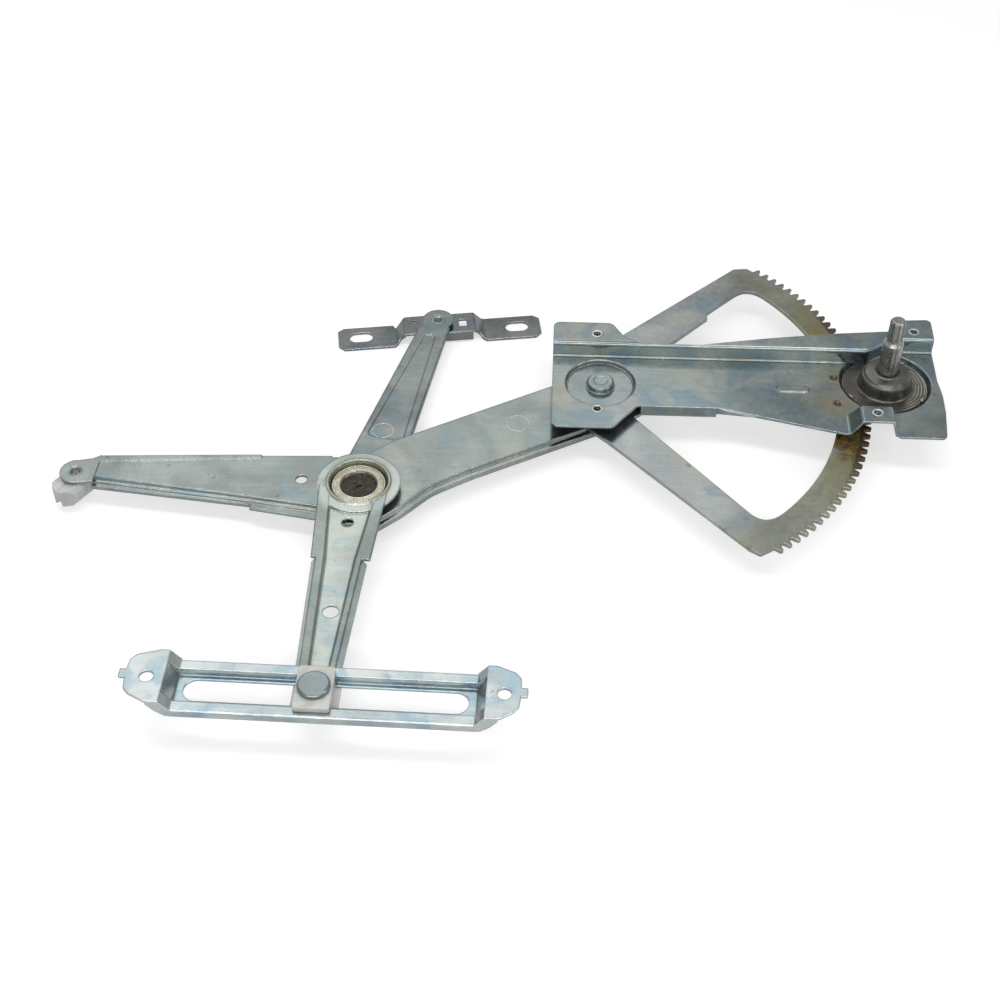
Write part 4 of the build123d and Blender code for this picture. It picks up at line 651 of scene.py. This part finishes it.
def soft_copy(node, width):
    """A merged and bevelled copy of a CAD node."""
    take(nodes[node])
    bpy.ops.object.duplicate()
    piece = bpy.context.active_object
    piece.name = node + "_soft"
    piece.parent = None
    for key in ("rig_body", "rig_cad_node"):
        del piece[key]
    bpy.ops.mesh.customdata_custom_splitnormals_clear()
    bpy.ops.object.mode_set(mode="EDIT")
    bpy.ops.mesh.select_all(action="SELECT")
    bpy.ops.mesh.remove_doubles(threshold=merge_distance)
    if node not in undissolved:
        bpy.ops.mesh.dissolve_limited(angle_limit=flat_angle)
    bpy.ops.mesh.select_all(action="DESELECT")
    bpy.ops.object.mode_set(mode="OBJECT")
    if node in bends:
        bend, gauge = bends[node]
        weigh_bends(piece, rim_share, gauge)
        apply_modifier(piece, "BEVEL", width=bend / 1000, segments=3, limit_method="WEIGHT",
                       use_clamp_overlap=False, miter_outer="MITER_ARC")
    else:
        apply_modifier(piece, "BEVEL", width=width / 1000, segments=2, limit_method="ANGLE",
                       angle_limit=sharp_angle, use_clamp_overlap=node in clamped, miter_outer="MITER_ARC")
    bpy.ops.object.shade_smooth_by_angle(angle=smooth_angle)
    apply_modifier(piece, "WEIGHTED_NORMAL", keep_sharp=True, weight=80)
    return piece


for node, (finish, slot, width) in looks.items():
    nodes[node].data.materials.clear()
    nodes[node].data.materials.append(finish)
    piece = soft_copy(node, width)
    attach(piece, body_of[node])
    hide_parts(node)
    low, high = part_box(node)
    growth = 0
    for axis in range(3):
        values = [vertex.co[axis] for vertex in piece.data.vertices]
        growth = max(growth, low[axis] - min(values), max(values) - high[axis])
    print(node, "faces", len(piece.data.polygons), "grown by mm", round(1000 * growth, 3))

# %% [markdown]
# ## Threads in the drawn collars
# The plate is screwed to the door through four drawn collars with an M6 thread. A thread is
# one small triangle swept along a helix, which is just what the Screw modifier does. It is
# made once at the origin and copied to each collar.

# %% Finish a new piece
def settle(piece, finish, body, angle=35):
    """Place in the mesh, smooth shading, finish and body."""
    take(piece)
    bpy.ops.object.transform_apply(location=True, rotation=True, scale=True)
    bpy.ops.object.shade_smooth_by_angle(angle=radians(angle))
    piece.data.materials.clear()
    piece.data.materials.append(finish)
    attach(piece, body)
    return piece


def copy_to(piece, name, place, turn=0.0):
    """A copy with a mesh of its own, moved and turned about Z."""
    take(piece)
    bpy.ops.object.duplicate()
    twin = bpy.context.active_object
    twin.name = name
    twin.location = place
    twin.rotation_euler.z = turn
    return twin


# %% One thread, four collars
thread_pitch = 0.001
thread_height = 0.0004
core_radius = 0.0025
collar_depth = 0.0050
deselect()
bpy.ops.mesh.primitive_circle_add(
    vertices=3, radius=thread_height, location=(core_radius + 0.00008, 0, 0), rotation=(pi / 2, -pi / 2, 0)
)
thread = bpy.context.active_object
thread.name = "collar_thread"
bpy.ops.object.transform_apply(location=True, rotation=True, scale=True)
apply_modifier(thread, "SCREW", axis="Z", screw_offset=thread_pitch, iterations=4, steps=20, render_steps=20,
               use_normal_calculate=True)
# The middle of each collar's top: on the two upper tabs, the pad and the channel's floor.
collars = {
    "upper_left": (-0.2051, 0.0314, 0.0),
    "upper_right": (0.0241, 0.0429, 0.0),
    "lower_right": (-0.0125, -0.0456, 0.0),
    "lower_left": (-0.2047, -0.0361, -0.012),
}
for name, (x, y, top) in collars.items():
    twin = copy_to(thread, "collar_thread_" + name, (x, y, top - collar_depth))
    settle(twin, plate_steel, "base", 60)
bpy.data.objects.remove(thread)
print("threads", len(collars))

# %% [markdown]
# ## Plain stamped rings
# The main arm and the upper arm each carry a round tool mark, a thin raised ring. A torus
# flattened to half its height and sunk into the sheet gives that soft line of light, and a
# lighter steel paints a highlight on it. Two more such rings, in the same lighter steel, are
# the turned lines on the top of the bush.

# %% Tool marks
def stamp_ring(name, place, radius, body):
    """A thin ring of painted-highlight steel, half sunk into the face that it lies on."""
    deselect()
    bpy.ops.mesh.primitive_torus_add(
        location=place, major_radius=radius, minor_radius=0.00038, major_segments=72, minor_segments=10
    )
    ring = bpy.context.active_object
    ring.name = name
    bpy.ops.object.mode_set(mode="EDIT")
    bpy.ops.mesh.select_all(action="SELECT")
    bpy.ops.transform.resize(value=(1, 1, 0.45))
    bpy.ops.object.mode_set(mode="OBJECT")
    return settle(ring, highlight_steel, body)


main_web_top = -0.023
panel_top = -0.0311
stamp_ring("tool_mark_main", (-0.2599, -0.0419, main_web_top), 0.0080, "main")
stamp_ring("tool_mark_upper", (-0.3552, -0.0445, panel_top), 0.0074, "cross")

bush_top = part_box("centre_bush")[1].z
# The bush's turned lines in the lighter steel are painted highlights.
for name, radius, drop in (("bush_inner_line", 0.0133, 0.0002), ("bush_outer_line", 0.0175, 0.0003)):
    place = (centre_joint.x, centre_joint.y, bush_top - drop)
    stamp_ring(name, place, radius, "cross")
print("bush top in mm", round(1000 * bush_top, 2))

# %% [markdown]
# ## Rims round the rail's screw holes
# The holes in the rail's tabs are dished: the sheet rises in a soft ring and falls into the
# hole. The ring is a profile spun about the hole's axis.

# %% Dished rims
def spun(name, profile, steps=48):
    """Spin an open profile of (radius, height) about the Z axis at the origin."""
    deselect()
    bpy.ops.mesh.primitive_plane_add(size=0.001)
    piece = bpy.context.active_object
    piece.name = name
    bpy.ops.object.mode_set(mode="EDIT")
    bpy.ops.mesh.select_all(action="SELECT")
    bpy.ops.mesh.delete(type="VERT")
    mesh = bmesh.from_edit_mesh(piece.data)
    corners = [mesh.verts.new((radius, 0, height)) for radius, height in profile]
    for first, second in zip(corners, corners[1:]):
        mesh.edges.new((first, second))
    bmesh.update_edit_mesh(piece.data)
    bpy.ops.mesh.select_all(action="SELECT")
    bpy.ops.mesh.spin(steps=steps, angle=2 * pi, center=(0, 0, 0), axis=(0, 0, 1))
    bpy.ops.mesh.select_all(action="SELECT")
    bpy.ops.mesh.remove_doubles(threshold=0.000002)
    bpy.ops.mesh.normals_make_consistent(inside=False)
    bpy.ops.object.mode_set(mode="OBJECT")
    return piece


def along_rail(along, left):
    """A point of the rail, measured from its stud."""
    x = rail_joint.x + along * cos(rail_angle) - left * sin(rail_angle)
    y = rail_joint.y + along * sin(rail_angle) + left * cos(rail_angle)
    return x, y


# Profiles run from inside the hole over the lip and back into the sheet: radius, height.
rim_profile = [
    (0.0042, -0.0016), (0.00415, -0.0006), (0.0044, 0.00012), (0.0050, 0.00036),
    (0.0058, 0.00034), (0.0068, 0.00016), (0.0077, -0.00006), (0.0078, -0.0004),
]
left_hole, right_hole, hole_south = -0.0986, 0.112, -0.001      # along and beside the rail
rim_drop = -0.0004
left_rim = spun("rail_hole_rim_left", rim_profile)
left_rim.location = (*along_rail(left_hole, hole_south), rim_drop)
right_rim = copy_to(left_rim, "rail_hole_rim_right", (*along_rail(right_hole, hole_south), rim_drop))
for rim in (left_rim, right_rim):
    settle(rim, rail_steel, "rail", 50)
    print(rim.name, "faces", len(rim.data.polygons))

# %% [markdown]
# ## Bright lips on the collars
# Where a collar is drawn out of the plate, the sheet rolls over into a small round lip,
# which the screws rub bright, and its lighter steel adds a painted highlight. The lip stands
# a little above the plate, so a bevel on the hole can't give it. A second profile is spun as
# before and copied to the four collars.

# %% Bright lips round the plate's threaded collars
lip_profile = [
    (0.00255, -0.0012), (0.00250, -0.0003), (0.00275, 0.00006), (0.0032, 0.00016),
    (0.0037, 0.00010), (0.0040, -0.00006), (0.0041, -0.0003),
]
lip = spun("collar_lip", lip_profile)
for name, place in collars.items():
    twin = copy_to(lip, "collar_lip_" + name, place)
    settle(twin, highlight_steel, "base", 50)
bpy.data.objects.remove(lip)
print("lips", len(collars))

# %% [markdown]
# ## Stake marks
# A punch with a toothed face spreads the two small rivets and leaves a low star on each. The
# outline is a circle with every other point pulled in. It is extruded and its edges are
# broken by a small bevel, which catches the light as the struck metal does.

# %% Star-shaped stake marks on the two small rivets
inner_share = 0.62          # radius of the inner points
mark_height = 0.00022
mark_depth = 0.00012        # how deep the mark starts below the rivet's face


def stake_mark(name, place, radius, body):
    """A ten-pointed mark: a ring of points, every other one pulled in, extruded and bevelled."""
    deselect()
    bpy.ops.mesh.primitive_circle_add(vertices=20, radius=radius, fill_type="NGON")
    mark = bpy.context.active_object
    mark.name = name
    for vertex in mark.data.vertices:
        if vertex.index % 2:
            vertex.co *= inner_share
    bpy.ops.object.mode_set(mode="EDIT")
    bpy.ops.mesh.select_all(action="SELECT")
    bpy.ops.mesh.extrude_region_move(TRANSFORM_OT_translate={"value": (0, 0, mark_height)})
    bpy.ops.mesh.select_all(action="SELECT")
    bpy.ops.mesh.normals_make_consistent(inside=False)
    bpy.ops.object.mode_set(mode="OBJECT")
    apply_modifier(mark, "BEVEL", width=0.00006, segments=1, limit_method="ANGLE",
                   angle_limit=radians(40))
    mark.location = place
    return settle(mark, pinion_steel, body, 30)


rivet_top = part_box("bracket_rivet")[1].z
stud_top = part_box("glass_stud")[1].z
stake_mark("stake_mark_bracket", (bracket_joint.x, bracket_joint.y, rivet_top - mark_depth), 0.0030, "cross")
stake_mark("stake_mark_glass", (glass_joint.x, glass_joint.y, stud_top - mark_depth), 0.0026, "main")

# %% [markdown]
# ## Grease in the bush and between the teeth
# Grease stands in the bush's well in a lumpy ring with a small hole in the middle. The ring
# is an edge extruded inwards, subdivided and pushed about by a cloud texture. Between the
# teeth sit small squeezed lumps, one modelled, the others copied. They lie low, since the
# pinion's teeth pass over them.

# %% Grease finish
def grease_finish(name, dark, amber):
    """Thick grease, lumpy and half dry."""
    finish = Finish(name)
    place = finish.place()
    lumps = finish.noise(place, 420, 4, 1.0)
    colour = finish.mix(finish.step(lumps, 0.40, 0.66), dark, amber)
    fine = finish.noise(place, 1600, 3)
    normal = finish.bump(0.5, 0.0002, lumps * 0.7 + fine * 0.3)
    return finish.surface(Base_Color=colour, Roughness=0.42 + (fine - 0.5) * 0.3, Normal=normal,
                          Specular_IOR_Level=0.35, Coat_Weight=0.05)


joint_grease = grease_finish("joint_grease", (0.008, 0.006, 0.005), (0.065, 0.042, 0.020))
tooth_grease = grease_finish("tooth_grease", (0.035, 0.018, 0.008), (0.16, 0.085, 0.025))

# %% Lumpy ring in the well
cloud_texture = bpy.data.textures.new("lumps", type="CLOUDS")
cloud_texture.noise_scale = 0.0035
cloud_texture.noise_depth = 2
well_depth = 0.0026
well_radius = 0.0113
ring_steps = (0.93, 0.84, 0.76, 0.68, 0.58, 0.80)      # each loop's size as a share of the last
deselect()
bpy.ops.mesh.primitive_circle_add(vertices=56, radius=well_radius)
lump_ring = bpy.context.active_object
lump_ring.name = "well_grease"
bpy.ops.object.mode_set(mode="EDIT")
bpy.ops.mesh.select_all(action="SELECT")
for share in ring_steps:
    bpy.ops.mesh.extrude_edges_move()
    bpy.ops.transform.resize(value=(share, share, 1))
bpy.ops.mesh.select_all(action="SELECT")
bpy.ops.mesh.normals_make_consistent(inside=False)
bpy.ops.object.mode_set(mode="OBJECT")
lump_ring.location = (centre_joint.x, centre_joint.y, bush_top - well_depth + 0.0002)
take(lump_ring)
bpy.ops.object.transform_apply(location=True, rotation=True, scale=True)
apply_modifier(lump_ring, "SUBSURF", levels=1, render_levels=1)
apply_modifier(lump_ring, "DISPLACE", texture=cloud_texture, direction="Z", strength=0.0016, mid_level=0.35)
settle(lump_ring, joint_grease, "cross", 60)
print("grease faces", len(lump_ring.data.polygons))

# %% Lumps between the teeth
teeth_of_full_wheel = 152
tooth_step = 2 * pi / teeth_of_full_wheel
root_radius = 0.1869
sunk = 0.0002           # the pinion's tips pass 0.2 mm above the root, and the lumps stay below them
lump_radius = root_radius - sunk
lump_height = -0.0215   # the middle of the sector's sheet
line_of_centres = radians(2.4)
first_lump = -15        # gaps are counted from the line of centres, and those near it hold no lump
deselect()
bpy.ops.mesh.primitive_ico_sphere_add(subdivisions=3, radius=0.001)
lump = bpy.context.active_object
lump.scale = (0.28, 1.15, 1.35)        # out from the root, along it, through the sheet
bpy.ops.object.transform_apply(location=True, rotation=True, scale=True)
apply_modifier(lump, "DISPLACE", texture=cloud_texture, strength=0.0002, mid_level=0.5)
gaps = [gap for gap in range(first_lump, 13) if abs(gap) > 6]
for gap in gaps:
    turn = line_of_centres + (gap + 0.5) * tooth_step
    x = main_pivot.x + lump_radius * cos(turn)
    y = main_pivot.y + lump_radius * sin(turn)
    twin = copy_to(lump, f"tooth_grease_{gap - first_lump:02d}", (x, y, lump_height), turn)
    settle(twin, tooth_grease, "main", 60)
bpy.data.objects.remove(lump)
print("lumps between teeth", len(gaps))

# %% [markdown]
# ## Floor and light
# A plain floor under the object keeps a soft shadow. It glows a little for the camera, so
# that it looks white although its own colour is grey and throws less light back at the
# object, and a little less for reflections. The room's sky does the same. A broad panel
# stands behind, a long strip hangs overhead and one stands in front, which draw bright lines
# along the bends, and a small box stands on the right.

# %% Floor
deselect()
floor_gap = 0.0004
floor_level = cad_box[0].z - floor_gap
bpy.ops.mesh.primitive_plane_add(size=8, location=(-0.27, 0.6, floor_level))
floor = bpy.context.active_object
floor.name = "white_floor"
paper = Finish("white_floor")
ray = paper.node("ShaderNodeLightPath")
grit = paper.noise(paper.place(), 900, 2)
grey = paper.mix(grit, (0.60, 0.60, 0.60), (0.64, 0.64, 0.64))
matt = paper.node("ShaderNodeBsdfDiffuse", {}, {"Color": grey})
direct = ray["Is Camera Ray"].most(ray["Is Transmission Ray"])
glow = paper.node("ShaderNodeEmission", {}, {
    "Color": (1, 1, 1), "Strength": direct * 0.57 + ray["Is Glossy Ray"] * 0.34,
})
both = paper.node("ShaderNodeAddShader", {}, {0: matt[0], 1: glow[0]})
paper.node("ShaderNodeOutputMaterial", {}, {"Surface": both[0]})
floor.data.materials.append(paper.material)
floor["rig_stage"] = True
print("floor level in mm", round(1000 * floor_level, 1))

# %% World and lamps
world = bpy.data.worlds.new("soft_room")
bpy.context.scene.world = world
world.use_nodes = True
room = NodeTree(world.node_tree)
ray = room.node("ShaderNodeLightPath")
seen = ray["Is Camera Ray"].most(ray["Is Transmission Ray"])
strength = 0.30 + seen * 0.70 + ray["Is Glossy Ray"] * 0.32
sky = room.node("ShaderNodeBackground", {}, {"Color": (1, 1, 1), "Strength": strength})
room.node("ShaderNodeOutputWorld", {}, {"Surface": sky[0]})


def softbox(name, place, aim_at, size, radiance):
    """A rectangular lamp, given by how bright its face looks."""
    deselect()
    bpy.ops.object.light_add(type="AREA", location=place)
    lamp = bpy.context.active_object
    lamp.name = name
    lamp.data.shape = "RECTANGLE"
    lamp.data.size, lamp.data.size_y = size
    lamp.data.energy = radiance * pi * size[0] * size[1]
    lamp.rotation_euler = (Vector(aim_at) - Vector(place)).to_track_quat("-Z", "Y").to_euler()
    return lamp


# Name, place, aim, width and length, and brightness.
softbox("back_panel", (-0.62, 0.95, 1.30), (-0.35, -0.20, 0), (1.5, 0.7), 1.08)
softbox("overhead_strip", (-0.30, -0.25, 1.45), (-0.27, -0.08, 0), (1.8, 0.25), 6.0)
softbox("front_strip", (-0.30, -1.30, 0.90), (-0.27, -0.08, 0), (1.8, 0.25), 5.5)
softbox("side_softbox", (1.05, -0.55, 0.75), (-0.10, -0.05, 0), (0.4, 0.6), 3.0)

# %% [markdown]
# ## The size must not change
# Bevels only take material away and every added piece lies inside the CAD box, so the two
# boxes are printed side by side.

# %% Sizes and finish
visual_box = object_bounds()
sizes = {"cad": [list(corner) for corner in cad_box], "visual": [list(corner) for corner in visual_box]}
for name, box in sizes.items():
    print(name, [[round(1000 * value, 2) for value in corner] for corner in box])
